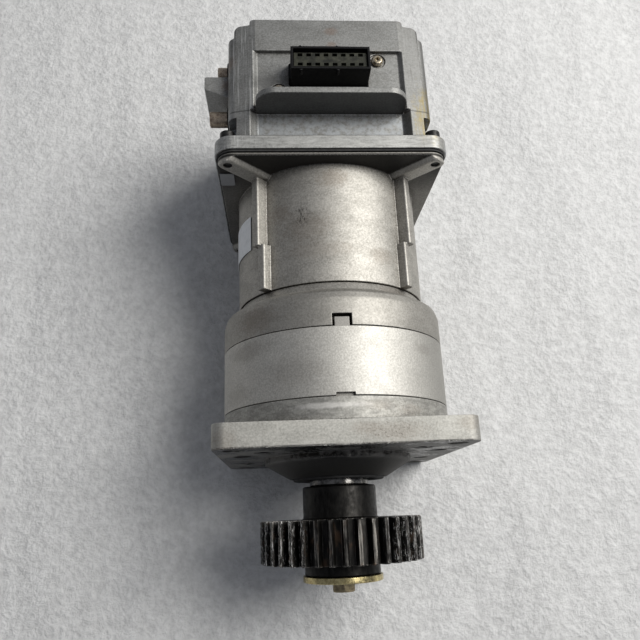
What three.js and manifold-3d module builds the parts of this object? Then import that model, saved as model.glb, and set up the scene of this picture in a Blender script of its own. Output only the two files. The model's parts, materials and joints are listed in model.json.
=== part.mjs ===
// Steering servo motor: output flange and pinion, planetary gearbox, brushless motor
// and electronics housing, as separate pieces.
//
// Millimetres, +Z up. The motor lies on the lower edges of its two square flanges, and its
// shaft points towards -Y. Every piece is made about the shaft axis, with y = 0 at the
// mounting face of the output flange, and one group then sets the motor on the ground.

import * as THREE from 'three';
import { mergeVertices } from 'three/addons/utils/BufferGeometryUtils.js';
import Module from 'manifold-3d';

const wasm = await Module();
wasm.setup();

// ---- Driving dimensions ----

const GAP = 0.3;
const OVERSHOOT = 1;
const FLANGE_SIDE = 114;
const FLANGE_HALF = FLANGE_SIDE / 2;

// Stations along the shaft axis
const BOLT_FRONT = -61.7;
const PINION_FRONT = -53.8;
const TEETH_FRONT = -48.2;
const TEETH_REAR = -29;
const PINION_REAR = -13.9;
const BOSS_FRONT = -10;
const PILOT_FRONT = -3;
const FLANGE_REAR = 11;
const RING_FRONT = 20.9;
const RING_REAR = 52;
const BELL_SHOULDER = 64.8;
const BELL_NECK = 71;
const BELL_REAR = 75.3;
const RIB_STEP = 98;
const MOTOR_PLATE_FRONT = 137;
const MOTOR_REAR = 138.6;
const GASKET_THICKNESS = 0.8;
const HOUSING_FRONT = 140;
const HOUSING_FLANGE_REAR = 147.1;
const LIP_FRONT = 161.3;
const LIP_REAR = 164.6;
const PAD_FRONT = 196;
const HOUSING_REAR = 215;

// Round sizes
const RING_R = 55.7;
const MOTOR_R = 48.1;
const MOTOR_BORE_R = 43.5;
const SHAFT_R = 14.7;
const NECK_R = 14.3;
const PINION_SEAT_R = 11;
const PINION_HUB_R = 17.9;
const ROTOR_SEAT_R = 7.2;

// Pinion. Its teeth are cut deeper than standard by the shift, which lowers their tips.
const PINION_TEETH = 38;
const PINION_MODULE = 2;
const PINION_SHIFT = 1.3;
const PINION_BACKLASH = 0.2;
const PINION_TURN = THREE.MathUtils.degToRad(2.5);
const KEY_WIDTH = 5.6;

// Planetary set
const SUN_TEETH = 12;
const PLANET_TEETH = 24;
const RING_TEETH = SUN_TEETH + 2 * PLANET_TEETH;
const SET_MODULE = 1.4;
const PLANETS = 3;
const ORBIT_R = SET_MODULE * (SUN_TEETH + PLANET_TEETH) / 2;
const PLANET_FRONT = 28.9;
const PLANET_REAR = 43.2;
const PIN_R = 4.2;
const SET_SLACK = 0.35;
const SET_ADDENDUM = 0.8 * SET_MODULE;
const SET_DEDENDUM = 1.25 * SET_MODULE;
const FIRST_PLANET_ANGLE = Math.PI / 2;
const PRESSURE_ANGLE = THREE.MathUtils.degToRad(20);

// Motor core
const CORE_FRONT = 88;
const CORE_REAR = 124;
const SLOTS = 9;
const SLOT_INNER_R = 30;
const SLOT_OUTER_R = 38.5;
const SLOT_WIDTH = 11;
const ROTOR_CORE_R = 21.5;
const MAGNET_R = 25.8;
const STATOR_INNER_R = 27;
const WINDING_R = [29.5, 40.4];
const WINDING_FRONT = 83.5;
const WINDING_REAR = 130;

// Screws
const FLANGE_SCREW_AT = 50.5;
const M4_R = 2;
const M4_HOLE_R = 2.2;
const M4_HEAD_R = 3.8;
const M4_HEAD_HEIGHT = 4.5;
const M4_SOCKET_R = 1.7;
const M5_R = 2.5;
const M5_HOLE_R = 2.8;
const M5_HEAD_R = 4.25;
const M5_HEAD_HEIGHT = 5;
const M5_SOCKET_R = 2.3;
const M6_R = 3;
const M6_HEX_R = 5.77;
const GEARBOX_SCREW_CIRCLE_R = 50;

// Electronics housing and its connector
const BODY_HALF = 50.2;
const DECK_HALF = 36.5;
const BODY_BOTTOM = -50;
const PAD_Z = FLANGE_HALF;
const DECK_Z = 55;
const FRONT_FLOOR_Z = 53;
const CAVITY_TOP = 48;
const LIP_TOP = 70;
const CONNECTOR_Y = 182.5;
const CONNECTOR_TOP = 68.4;
const CONNECTOR_LENGTH = 38.4;
const CONNECTOR_WIDTH = 12.8;
const CONNECTOR_WALL = 1.2;
const CONTACT_PITCH = 4.2;
const CONNECTOR_SCREW_X = 25;
const CONNECTOR_SCREW_Y = 9;
const LUG_REACH = 62.8;
const STUD_Z = 37;
const FRONT_STUD = { y: 169.4, end: -60.6 };
const REAR_STUD = { y: 196.6, end: -56.6 };
const STUD_R = 4;

// Smoothness of round surfaces
const COARSE = 12;
const MEDIUM = 20;
const FINE = 40;
const HOLE_SIDES = 8;

// ---- Materials ----

function material(color, roughness, metalness) {
  return new THREE.MeshStandardMaterial({ color, roughness, metalness });
}

const castAluminium = material(0xbdb8ae, 0.5, 0.8);
const turnedAluminium = material(0xc9c6bf, 0.4, 0.85);
const motorCasting = material(0xb3aea5, 0.5, 0.8);
const housingCasting = material(0x8f908c, 0.55, 0.75);
const blackSteel = material(0x2b2a29, 0.5, 0.7);
const brightSteel = material(0xa9aaac, 0.3, 0.95);
const yellowZinc = material(0xbfa86a, 0.4, 0.85);
const screwSteel = material(0x2f2f30, 0.45, 0.8);
const nickel = material(0xb8ab92, 0.3, 0.95);
const brass = material(0x9c7b52, 0.4, 0.9);
const blackRubber = material(0x1b1b1b, 0.85, 0);
const blackPlastic = material(0x161719, 0.5, 0);
const oliveInsert = material(0x34362c, 0.6, 0);
const coreSteel = material(0x6e7074, 0.5, 0.8);
const magnetGrey = material(0x55575b, 0.45, 0.7);
const copper = material(0xa85f3a, 0.4, 0.8);
const boardGreen = material(0x1f5a3c, 0.6, 0);
const capacitorSleeve = material(0x20242c, 0.5, 0);
const labelWhite = material(0xe4e4e0, 0.6, 0);
const stickerGrey = material(0xa9aaae, 0.5, 0);

// ---- Solids ----

function isCollapsed(a, b, c) {
  return a === b || b === c || c === a;
}

function signedVolume(positions, triangles) {
  const a = new THREE.Vector3();
  const b = new THREE.Vector3();
  const c = new THREE.Vector3();
  let volume = 0;
  for (let i = 0; i < triangles.length; i += 3) {
    a.fromArray(positions, 3 * triangles[i]);
    b.fromArray(positions, 3 * triangles[i + 1]);
    c.fromArray(positions, 3 * triangles[i + 2]);
    volume += a.dot(b.cross(c)) / 6;
  }
  return volume;
}

// A closed three.js geometry as a manifold solid with its faces pointing out
function solid(geometry) {
  geometry.deleteAttribute('normal');
  geometry.deleteAttribute('uv');
  const merged = mergeVertices(geometry, 1e-4);
  const index = merged.index.array;
  const vertProperties = new Float32Array(merged.attributes.position.array);
  const kept = [];
  for (let i = 0; i < index.length; i += 3) {
    if (!isCollapsed(index[i], index[i + 1], index[i + 2])) {
      kept.push(index[i], index[i + 1], index[i + 2]);
    }
  }
  if (signedVolume(vertProperties, kept) < 0) {
    kept.reverse();
  }
  const triVerts = new Uint32Array(kept);
  return new wasm.Manifold(new wasm.Mesh({ numProp: 3, vertProperties, triVerts }));
}

function join(first, ...others) {
  return others.reduce((sum, next) => sum.add(next), first);
}

function cut(first, ...others) {
  return others.reduce((rest, next) => rest.subtract(next), first);
}

// A solid of revolution about the shaft axis from [radius, y] points. An outline that
// doesn't start on the axis is closed on itself.
function turned(outline, sides = MEDIUM) {
  const points = outline.map(([radius, y]) => new THREE.Vector2(radius, y));
  if (points[0].x > 0) {
    points.push(points[0].clone());
  }
  return solid(new THREE.LatheGeometry(points, sides));
}

function tube(innerR, outerR, y0, y1, sides = MEDIUM) {
  return turned([[innerR, y0], [outerR, y0], [outerR, y1], [innerR, y1]], sides);
}

function rod(radius, y0, y1, sides = MEDIUM) {
  return turned([[0, y0], [radius, y0], [radius, y1], [0, y1]], sides);
}

// Prisms: along the shaft from a shape in (x, z), and upright from a shape in (x, y)
function prismY(shape, y0, y1, curveSegments = 4) {
  const geometry = new THREE.ExtrudeGeometry(shape, {
    depth: y1 - y0, bevelEnabled: false, curveSegments,
  });
  geometry.rotateX(Math.PI / 2);
  geometry.translate(0, y1, 0);
  return solid(geometry);
}

function prismZ(shape, z0, z1, curveSegments = 4) {
  const geometry = new THREE.ExtrudeGeometry(shape, {
    depth: z1 - z0, bevelEnabled: false, curveSegments,
  });
  geometry.translate(0, 0, z0);
  return solid(geometry);
}

function box(x0, x1, y0, y1, z0, z1) {
  const geometry = new THREE.BoxGeometry(x1 - x0, y1 - y0, z1 - z0);
  geometry.translate((x0 + x1) / 2, (y0 + y1) / 2, (z0 + z1) / 2);
  return solid(geometry);
}

// A solid of revolution about a line along X or Z through a point
function turnedAlongX(outline, y, z, sides = COARSE) {
  return turned(outline, sides).rotate([0, 0, -90]).translate([0, y, z]);
}

function turnedAlongZ(outline, x, y, sides = COARSE) {
  return turned(outline, sides).rotate([90, 0, 0]).translate([x, y, 0]);
}

function roundedSquare(side, corner) {
  const half = side / 2;
  const shape = new THREE.Shape();
  shape.moveTo(-half + corner, -half);
  shape.lineTo(half - corner, -half);
  shape.absarc(half - corner, -half + corner, corner, -Math.PI / 2, 0);
  shape.lineTo(half, half - corner);
  shape.absarc(half - corner, half - corner, corner, 0, Math.PI / 2);
  shape.lineTo(-half + corner, half);
  shape.absarc(-half + corner, half - corner, corner, Math.PI / 2, Math.PI);
  shape.lineTo(-half, -half + corner);
  shape.absarc(-half + corner, -half + corner, corner, Math.PI, 1.5 * Math.PI);
  return shape;
}

function polygon(points) {
  return new THREE.Shape(points.map(([u, v]) => new THREE.Vector2(u, v)));
}

function fourCorners(distance) {
  return [[1, 1], [-1, 1], [-1, -1], [1, -1]].map(([a, b]) => [a * distance, b * distance]);
}

function holesAt(places, radius, y0, y1, sides = COARSE) {
  return places.map(([x, z]) => rod(radius, y0, y1, sides).translate([x, 0, z]));
}

function mesh(name, body, finish) {
  const { vertProperties, triVerts } = body.getMesh();
  const geometry = new THREE.BufferGeometry();
  geometry.setAttribute('position', new THREE.BufferAttribute(vertProperties, 3));
  geometry.setIndex(new THREE.BufferAttribute(triVerts, 1));
  geometry.computeVertexNormals();
  const piece = new THREE.Mesh(geometry, finish);
  piece.name = name;
  return piece;
}

// ---- Gears ----

function involute(angle) {
  return Math.tan(angle) - angle;
}

// Half of a tooth's angle at a radius, from its half angle on the pitch circle
function halfToothAngle(radius, pitchR, halfAtPitch) {
  const baseR = pitchR * Math.cos(PRESSURE_ANGLE);
  const pressure = Math.acos(Math.min(1, baseR / radius));
  return halfAtPitch + involute(PRESSURE_ANGLE) - involute(pressure);
}

// Outline of a spur gear with a tooth centred on the angle phase. slack thins the teeth.
function gearShape(teeth, module, addendum, dedendum, slack, phase) {
  const pitchR = teeth * module / 2;
  const halfAtPitch = (Math.PI * module / 2 - slack) / 2 / pitchR;
  const radii = [pitchR - dedendum, pitchR + addendum];
  const flank = radii.map((radius) => [radius, halfToothAngle(radius, pitchR, halfAtPitch)]);
  const points = [];
  for (let tooth = 0; tooth < teeth; tooth += 1) {
    const centre = phase + 2 * Math.PI * tooth / teeth;
    const rising = flank.map(([radius, half]) => [radius, centre - half]);
    const falling = flank.map(([radius, half]) => [radius, centre + half]).reverse();
    for (const [radius, angle] of [...rising, ...falling]) {
      points.push([radius * Math.cos(angle), radius * Math.sin(angle)]);
    }
  }
  return polygon(points);
}

function planetAngle(index) {
  return FIRST_PLANET_ANGLE + 2 * Math.PI * index / PLANETS;
}

// ---- Output side ----

const FLANGE_CORNER_R = 6;
const PILOT_R = 36;
const BOSS_END_R = 24;
const OUTPUT_BEARING_R = 23.5;
const OUTPUT_BEARING_BORE_R = 15;
const OUTPUT_BEARINGS = [[-3.8, 5.2], [11, 20]];
const BEARING_SEAT_FRONT = -4.2;
const BEARING_GROOVE = 0.8;
const SEAL_R = 22.2;
const MOUNTING_HOLE_AT = 48;
const MOUNTING_HOLE_R = 4.5;
const TAPPED_HOLE_R = 4;
const TAPPED_HOLE_DEPTH = 8;
const TAPPED_HOLE_X = 46;
const TAPPED_HOLE_Z = 20;
const COUNTERBORE_DEPTH = 5.4;

function gearboxScrewPlaces() {
  return fourCorners(GEARBOX_SCREW_CIRCLE_R / Math.SQRT2);
}

function outputFlange() {
  const plate = prismY(roundedSquare(FLANGE_SIDE, FLANGE_CORNER_R), 0, FLANGE_REAR);
  const collar = rod(RING_R, 0, RING_FRONT - GAP / 2, FINE);
  const boss = turned([
    [0, BOSS_FRONT],
    [BOSS_END_R, BOSS_FRONT],
    [PILOT_R, PILOT_FRONT],
    [PILOT_R, OVERSHOOT],
    [0, OVERSHOOT],
  ], FINE);
  const bore = rod(OUTPUT_BEARING_R + GAP, BEARING_SEAT_FRONT, RING_FRONT + OVERSHOOT);
  const sealBore = rod(SEAL_R + GAP, BOSS_FRONT - OVERSHOOT, BEARING_SEAT_FRONT + OVERSHOOT / 2);
  const tapped = fourCorners(1).map(([x, z]) => [x * TAPPED_HOLE_X, z * TAPPED_HOLE_Z]);
  return cut(
    join(plate, collar, boss),
    bore,
    sealBore,
    ...holesAt(fourCorners(MOUNTING_HOLE_AT), MOUNTING_HOLE_R, -OVERSHOOT, FLANGE_REAR + OVERSHOOT),
    ...holesAt(tapped, TAPPED_HOLE_R, -OVERSHOOT, TAPPED_HOLE_DEPTH),
    ...holesAt(gearboxScrewPlaces(), M5_HEAD_R + GAP, -OVERSHOOT, COUNTERBORE_DEPTH),
    ...holesAt(gearboxScrewPlaces(), M5_HOLE_R, 0, RING_FRONT + OVERSHOOT, HOLE_SIDES),
  );
}

function shaftSeal() {
  const proud = 1.2;
  const clearance = 0.5;
  return tube(NECK_R + clearance, SEAL_R, BOSS_FRONT - proud, BEARING_SEAT_FRONT - 2 * GAP);
}

// A sealed ball bearing as one ring, with a groove between its races on the front face
function bearing(innerR, outerR, y0, y1) {
  const middle = (innerR + outerR) / 2;
  return turned([[innerR, y0], [middle, y0 + BEARING_GROOVE], [outerR, y0], [outerR, y1], [innerR, y1]]);
}

function outputBearing([y0, y1]) {
  return bearing(OUTPUT_BEARING_BORE_R, OUTPUT_BEARING_R, y0, y1);
}

const CARRIER_R = 37;
const CARRIER_FRONT = 21.3;
const CARRIER_REAR = 28.4;
const KEY_FRONT = -47;
const KEY_REAR = -20;
const KEY_FLOOR = 8;
const KEY_TOP = 13.2;
const SHAFT_FRONT = -53;
const SHAFT_CHAMFER = 1;
const SHAFT_STEP = BEARING_SEAT_FRONT + 0.2;
const THREAD_DEPTH = 20;

function orbitPlaces() {
  return Array.from({ length: PLANETS }, (_, index) => [
    ORBIT_R * Math.cos(planetAngle(index)),
    ORBIT_R * Math.sin(planetAngle(index)),
  ]);
}

function outputShaft() {
  const body = turned([
    [0, SHAFT_FRONT],
    [PINION_SEAT_R - SHAFT_CHAMFER, SHAFT_FRONT],
    [PINION_SEAT_R, SHAFT_FRONT + SHAFT_CHAMFER],
    [PINION_SEAT_R, PINION_REAR + GAP],
    [NECK_R, PINION_REAR + GAP],
    [NECK_R, SHAFT_STEP],
    [SHAFT_R, SHAFT_STEP],
    [SHAFT_R, CARRIER_FRONT],
    [CARRIER_R, CARRIER_FRONT],
    [CARRIER_R, CARRIER_REAR],
    [0, CARRIER_REAR],
  ]);
  const keyway = box(
    -KEY_WIDTH / 2 - GAP, KEY_WIDTH / 2 + GAP,
    KEY_FRONT - GAP, KEY_REAR + GAP,
    KEY_FLOOR - GAP, SHAFT_R,
  );
  const thread = rod(M6_R + GAP, SHAFT_FRONT - OVERSHOOT, SHAFT_FRONT + THREAD_DEPTH, HOLE_SIDES);
  const pinHoles = holesAt(orbitPlaces(), PIN_R + GAP, CARRIER_FRONT - OVERSHOOT, CARRIER_REAR + OVERSHOOT);
  return cut(body, keyway, thread, ...pinHoles);
}

function pinion() {
  const addendum = PINION_MODULE - PINION_SHIFT;
  const dedendum = 1.25 * PINION_MODULE + PINION_SHIFT;
  const slack = PINION_BACKLASH + 2 * PINION_SHIFT * Math.tan(PRESSURE_ANGLE);
  const phase = Math.PI / 2 + PINION_TURN;
  const outline = gearShape(PINION_TEETH, PINION_MODULE, addendum, dedendum, slack, phase);
  const teeth = prismY(outline, TEETH_FRONT, TEETH_REAR);
  const hub = turned([
    [0, PINION_FRONT],
    [PINION_HUB_R, PINION_FRONT],
    [PINION_HUB_R, PINION_REAR - SHAFT_CHAMFER],
    [PINION_HUB_R - SHAFT_CHAMFER, PINION_REAR],
    [0, PINION_REAR],
  ], FINE);
  const bore = rod(PINION_SEAT_R + GAP, PINION_FRONT - OVERSHOOT, PINION_REAR + OVERSHOOT);
  const keyway = box(
    -KEY_WIDTH / 2 - GAP, KEY_WIDTH / 2 + GAP,
    PINION_FRONT - OVERSHOOT, PINION_REAR + OVERSHOOT,
    0, KEY_TOP + GAP,
  );
  return cut(join(teeth, hub), bore, keyway);
}

function pinionKey() {
  return box(-KEY_WIDTH / 2, KEY_WIDTH / 2, KEY_FRONT, KEY_REAR, KEY_FLOOR, KEY_TOP);
}

const WASHER_R = 18.9;
const WASHER_THICKNESS = 2.8;
const WASHER_FRONT = PINION_FRONT - GAP - WASHER_THICKNESS;

function pinionWasher() {
  return tube(M6_R + GAP, WASHER_R, WASHER_FRONT, PINION_FRONT - GAP, FINE);
}

function pinionBolt() {
  const head = rod(M6_HEX_R, BOLT_FRONT, WASHER_FRONT - GAP, 6);
  const shank = rod(M6_R, BOLT_FRONT + OVERSHOOT, SHAFT_FRONT + THREAD_DEPTH - 2, HOLE_SIDES);
  return join(head, shank);
}

// ---- Planetary gearbox ----

const TAB_HALF = 3.4;
const TAB_LENGTH = 4.4;
const TAB_Z = [50, 54.6];
const SLOT_HALF = 4.2;
const SLOT_DEPTH = 1.4;
const SLOT_FLOOR_Z = 53.6;

// The space inside the ring is a gear outline: its teeth are the ring's tooth spaces
function ringGear() {
  const phase = FIRST_PLANET_ANGLE;
  const space = gearShape(RING_TEETH, SET_MODULE, SET_DEDENDUM, SET_ADDENDUM, -SET_SLACK, phase);
  const blank = rod(RING_R, RING_FRONT + GAP / 2, RING_REAR - GAP / 2, FINE);
  const tab = box(-TAB_HALF, TAB_HALF, RING_REAR - OVERSHOOT, RING_REAR + TAB_LENGTH, ...TAB_Z);
  const frontSlot = box(
    -SLOT_HALF, SLOT_HALF,
    RING_FRONT - OVERSHOOT, RING_FRONT + SLOT_DEPTH,
    SLOT_FLOOR_Z, RING_R + OVERSHOOT,
  );
  return cut(
    join(blank, tab),
    prismY(space, RING_FRONT - OVERSHOOT, RING_REAR + TAB_LENGTH + OVERSHOOT),
    frontSlot,
    ...holesAt(gearboxScrewPlaces(), M5_HOLE_R, RING_FRONT - OVERSHOOT, RING_REAR + OVERSHOOT, HOLE_SIDES),
  );
}

function planet(index) {
  const outline = gearShape(
    PLANET_TEETH, SET_MODULE, SET_ADDENDUM, SET_DEDENDUM, SET_SLACK, planetAngle(index),
  );
  const bore = rod(PIN_R + GAP, PLANET_FRONT - OVERSHOOT, PLANET_REAR + OVERSHOOT, COARSE);
  return cut(prismY(outline, PLANET_FRONT, PLANET_REAR), bore);
}

function planetPin() {
  const chamfer = 0.5;
  const front = CARRIER_FRONT + chamfer;
  const rear = PLANET_REAR + 0.8;
  return turned([
    [0, front],
    [PIN_R, front],
    [PIN_R, rear - chamfer],
    [PIN_R - chamfer, rear],
    [0, rear],
  ], COARSE);
}

const GEARBOX_SCREW_REAR = 64;

function gearboxScrew() {
  const head = rod(M5_HEAD_R, GAP, M5_HEAD_HEIGHT, COARSE);
  const socket = rod(M5_SOCKET_R, 0, M5_HEAD_HEIGHT / 2, 6);
  const shank = rod(M5_R, M5_HEAD_HEIGHT - OVERSHOOT, GEARBOX_SCREW_REAR, HOLE_SIDES);
  return join(cut(head, socket), shank);
}

// ---- Motor ----

const FRONT_BEARING = [57.8, 68.8];
const REAR_BEARING = [127.6, 138.2];
const ROTOR_BEARING_R = 17.5;
const ROTOR_SEAL_R = 12;
const ROTOR_SEAL = [52.6, 57];
const NOTCH_HALF = 4.4;
const NOTCH_DEPTH = 5.6;
const NOTCH_FLOOR_Z = 49.6;
const SPIGOT_R = MOTOR_BORE_R - GAP;
const SPIGOT_LENGTH = 2.5;
const BELL_INNER_R = 41;
const BELL_WEB = [57.4, 69.5];

function motorBell() {
  const web = turned([
    [ROTOR_SEAL_R + GAP, RING_REAR + GAP / 2],
    [RING_R, RING_REAR + GAP / 2],
    [RING_R, BELL_SHOULDER],
    [55.1, 67.2],
    [53.2, 69.4],
    [50.4, BELL_NECK],
    [49, BELL_NECK],
    [47.2, BELL_REAR],
    [SPIGOT_R, BELL_REAR],
    [SPIGOT_R, BELL_REAR + SPIGOT_LENGTH],
    [BELL_INNER_R, BELL_REAR + SPIGOT_LENGTH],
    [BELL_INNER_R, BELL_WEB[1]],
    [ROTOR_BEARING_R + GAP, BELL_WEB[1]],
    [ROTOR_BEARING_R + GAP, BELL_WEB[0]],
    [ROTOR_SEAL_R + GAP, BELL_WEB[0]],
  ], FINE);
  const front = RING_REAR - OVERSHOOT;
  const notch = box(
    -NOTCH_HALF, NOTCH_HALF, front, RING_REAR + NOTCH_DEPTH, NOTCH_FLOOR_Z, RING_R + OVERSHOOT,
  );
  const holeRear = GEARBOX_SCREW_REAR + OVERSHOOT;
  return cut(web, notch, ...holesAt(gearboxScrewPlaces(), M5_HOLE_R, front, holeRear, HOLE_SIDES));
}

const BAR_ROOT_R = 44;
const LOW_RIB = { top: 52.6, width: 4.4, shift: 2 };
const HIGH_RIB = { top: 54.4, width: 4.4, shift: 0 };
const GUSSET_FRONT = 134.4;
const GUSSET = { top: FLANGE_SCREW_AT * Math.SQRT2, width: 7.6, shift: 0 };
const PLATE_SIDE = 111;
const PLATE_CORNER_R = 8;

// A bar from the cylinder towards one corner, shifted towards the vertical plane through the shaft
function cornerBar({ top, width, shift }, y0, y1, quarter) {
  const middle = quarter % 2 ? shift : -shift;
  const bar = box(BAR_ROOT_R, top, y0, y1, middle - width / 2, middle + width / 2);
  return bar.rotate([0, 45 + 90 * quarter, 0]);
}

function motorHousing() {
  const cylinder = rod(MOTOR_R, BELL_REAR + GAP, MOTOR_REAR, FINE);
  const plate = prismY(roundedSquare(PLATE_SIDE, PLATE_CORNER_R), MOTOR_PLATE_FRONT, MOTOR_REAR);
  const pieces = [plate];
  const rear = MOTOR_PLATE_FRONT + OVERSHOOT;
  for (let quarter = 0; quarter < 4; quarter += 1) {
    pieces.push(cornerBar(LOW_RIB, BELL_REAR + GAP, RIB_STEP + OVERSHOOT, quarter));
    pieces.push(cornerBar(HIGH_RIB, RIB_STEP, rear, quarter));
    pieces.push(cornerBar(GUSSET, GUSSET_FRONT, rear, quarter));
  }
  for (const [x, z] of fourCorners(FLANGE_SCREW_AT)) {
    pieces.push(rod(GUSSET.width / 2, GUSSET_FRONT, rear).translate([x, 0, z]));
  }
  return cut(
    join(cylinder, ...pieces),
    rod(MOTOR_BORE_R, BELL_REAR - OVERSHOOT, MOTOR_REAR + OVERSHOOT, FINE),
    ...holesAt(
      fourCorners(FLANGE_SCREW_AT), M4_HOLE_R,
      GUSSET_FRONT - OVERSHOOT, MOTOR_REAR + OVERSHOOT, HOLE_SIDES,
    ),
  );
}

function slotShape(inset, angle) {
  const half = SLOT_WIDTH / 2 - inset;
  const inner = SLOT_INNER_R + inset;
  const outer = SLOT_OUTER_R - inset;
  const corners = [[inner, -half], [outer, -half], [outer, half], [inner, half]];
  const cos = Math.cos(angle);
  const sin = Math.sin(angle);
  return polygon(corners.map(([u, v]) => [u * cos - v * sin, u * sin + v * cos]));
}

function slotPrisms(inset, y0, y1) {
  return Array.from({ length: SLOTS }, (_, slot) => (
    prismY(slotShape(inset, 2 * Math.PI * slot / SLOTS), y0, y1)
  ));
}

function statorCore() {
  const ring = tube(STATOR_INNER_R, MOTOR_BORE_R - GAP, CORE_FRONT, CORE_REAR);
  return cut(ring, ...slotPrisms(0, CORE_FRONT - OVERSHOOT, CORE_REAR + OVERSHOOT));
}

function statorWinding() {
  const front = tube(...WINDING_R, WINDING_FRONT, CORE_FRONT - GAP);
  const rear = tube(...WINDING_R, CORE_REAR + GAP, WINDING_REAR);
  return join(front, rear, ...slotPrisms(0.35, CORE_FRONT - OVERSHOOT, CORE_REAR + OVERSHOOT));
}

function rotorBearing([y0, y1]) {
  return bearing(ROTOR_SEAT_R + GAP, ROTOR_BEARING_R, y0, y1);
}

const ROTOR_BODY_R = 10;
const TAIL_R = 5;
const TAIL_REAR = 145.5;
const ENCODER_MAGNET_R = 8;

// The rotor's shaft with the sun gear on its front end and a tail for the encoder magnet
function rotorShaft() {
  const sunFront = PLANET_FRONT + 0.2;
  const sunRear = PLANET_REAR + 1.2;
  const outline = gearShape(
    SUN_TEETH, SET_MODULE, SET_ADDENDUM, SET_DEDENDUM, SET_SLACK,
    FIRST_PLANET_ANGLE + Math.PI / SUN_TEETH,
  );
  const sealR = ROTOR_SEAT_R - 0.2;
  const frontShoulder = FRONT_BEARING[1] + 1;
  const rearShoulder = REAR_BEARING[0] - 1;
  const tailFront = REAR_BEARING[1] + 1;
  const shaft = turned([
    [0, sunRear - 1],
    [sealR, sunRear - 1],
    [sealR, FRONT_BEARING[0]],
    [ROTOR_SEAT_R, FRONT_BEARING[0]],
    [ROTOR_SEAT_R, frontShoulder],
    [ROTOR_BODY_R, frontShoulder],
    [ROTOR_BODY_R, rearShoulder],
    [ROTOR_SEAT_R, rearShoulder],
    [ROTOR_SEAT_R, tailFront],
    [TAIL_R, tailFront],
    [TAIL_R, TAIL_REAR],
    [0, TAIL_REAR],
  ], COARSE);
  return join(prismY(outline, sunFront, sunRear), shaft);
}

function rearBearingShield() {
  const collarFront = REAR_BEARING[0] - 0.4;
  const collarR = 22;
  const front = WINDING_REAR + 1.5;
  const rear = MOTOR_REAR - 0.2;
  return turned([
    [ROTOR_BEARING_R + GAP, collarFront],
    [collarR, collarFront],
    [collarR, front],
    [SPIGOT_R, front],
    [SPIGOT_R, rear],
    [ROTOR_BEARING_R + GAP, rear],
  ]);
}

const LABEL_Y = [101, 119.5];

// A curved plate on the left of the motor cylinder
function ratingLabel() {
  const start = THREE.MathUtils.degToRad(147);
  const end = THREE.MathUtils.degToRad(187);
  const innerR = MOTOR_R + GAP;
  const thickness = 0.3;
  const shape = new THREE.Shape();
  shape.absarc(0, 0, innerR + thickness, start, end, false);
  shape.absarc(0, 0, innerR, end, start, true);
  return prismY(shape, ...LABEL_Y, 8);
}

// ---- Electronics housing ----

const SLEEVE_R = 5.4;
const STUD_HOLE_R = SLEEVE_R + GAP;
const WALL_INNER = 46;
const HOUSING_CORNER_R = 9;
const GASKET_INSET = 1.6;
const GASKET_INNER_R = 44;
const BODY_CORNER_R = 8;
const SHOULDER_X = 46.5;
const SHOULDER_Z = 54.8;
const SIDE_TOP_Z = 50;
const SCALLOP_FLOOR_Z = 50.5;
const CORNER_SCALLOPS = [{ x: 43, y: 208, r: 4.6 }, { x: 48.6, y: 202.4, r: 3.2 }];
const SCREW_RELIEF_R = 6.4;
const SCREW_RELIEF_REAR = 158;
const SCREW_RECESS_R = 4.1;
const SCREW_RECESS_DEPTH = 0.8;
const THREAD_HOLE_R = 1.8;
const PLAN_SEGMENTS = 4;

function housingGasket() {
  const sheet = prismY(
    roundedSquare(FLANGE_SIDE - GASKET_INSET, HOUSING_CORNER_R),
    MOTOR_REAR + GAP, MOTOR_REAR + GAP + GASKET_THICKNESS,
  );
  return cut(
    sheet,
    rod(GASKET_INNER_R, MOTOR_REAR, HOUSING_FRONT, FINE),
    ...holesAt(fourCorners(FLANGE_SCREW_AT), M4_HOLE_R, MOTOR_REAR, HOUSING_FRONT, HOLE_SIDES),
  );
}

// Section across the shaft: upright sides and a top that slopes up to the flat deck
function bodySection() {
  const cornerX = BODY_HALF - BODY_CORNER_R;
  const cornerZ = BODY_BOTTOM + BODY_CORNER_R;
  const bendZ = SHOULDER_Z - 0.8;
  const shape = new THREE.Shape();
  shape.moveTo(-cornerX, BODY_BOTTOM);
  shape.lineTo(cornerX, BODY_BOTTOM);
  shape.absarc(cornerX, cornerZ, BODY_CORNER_R, -Math.PI / 2, 0);
  shape.lineTo(BODY_HALF, SIDE_TOP_Z);
  shape.quadraticCurveTo(BODY_HALF, bendZ, SHOULDER_X, SHOULDER_Z);
  shape.lineTo(DECK_HALF, PAD_Z);
  shape.lineTo(-DECK_HALF, PAD_Z);
  shape.lineTo(-SHOULDER_X, SHOULDER_Z);
  shape.quadraticCurveTo(-BODY_HALF, bendZ, -BODY_HALF, SIDE_TOP_Z);
  shape.lineTo(-BODY_HALF, cornerZ);
  shape.absarc(-cornerX, cornerZ, BODY_CORNER_R, Math.PI, 1.5 * Math.PI);
  return shape;
}

// Plan from above, with two rounded steps at each rear corner
function bodyPlan() {
  const wide = BODY_HALF + OVERSHOOT;
  const firstStepY = HOUSING_REAR - 10;
  const secondStepY = HOUSING_REAR - 3;
  const half = new THREE.Shape();
  half.moveTo(0, HOUSING_FRONT);
  half.lineTo(wide, HOUSING_FRONT);
  half.lineTo(wide, firstStepY - 5);
  half.quadraticCurveTo(wide, firstStepY, 47.2, firstStepY);
  half.lineTo(47, firstStepY + 2.5);
  half.quadraticCurveTo(46.6, secondStepY, 42, secondStepY);
  half.lineTo(39.1, secondStepY);
  half.quadraticCurveTo(39, HOUSING_REAR, 35.5, HOUSING_REAR);
  half.lineTo(0, HOUSING_REAR);
  const rightHalf = prismZ(half, BODY_BOTTOM - OVERSHOOT, PAD_Z + OVERSHOOT, PLAN_SEGMENTS);
  return join(rightHalf, rightHalf.mirror([1, 0, 0]));
}

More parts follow.
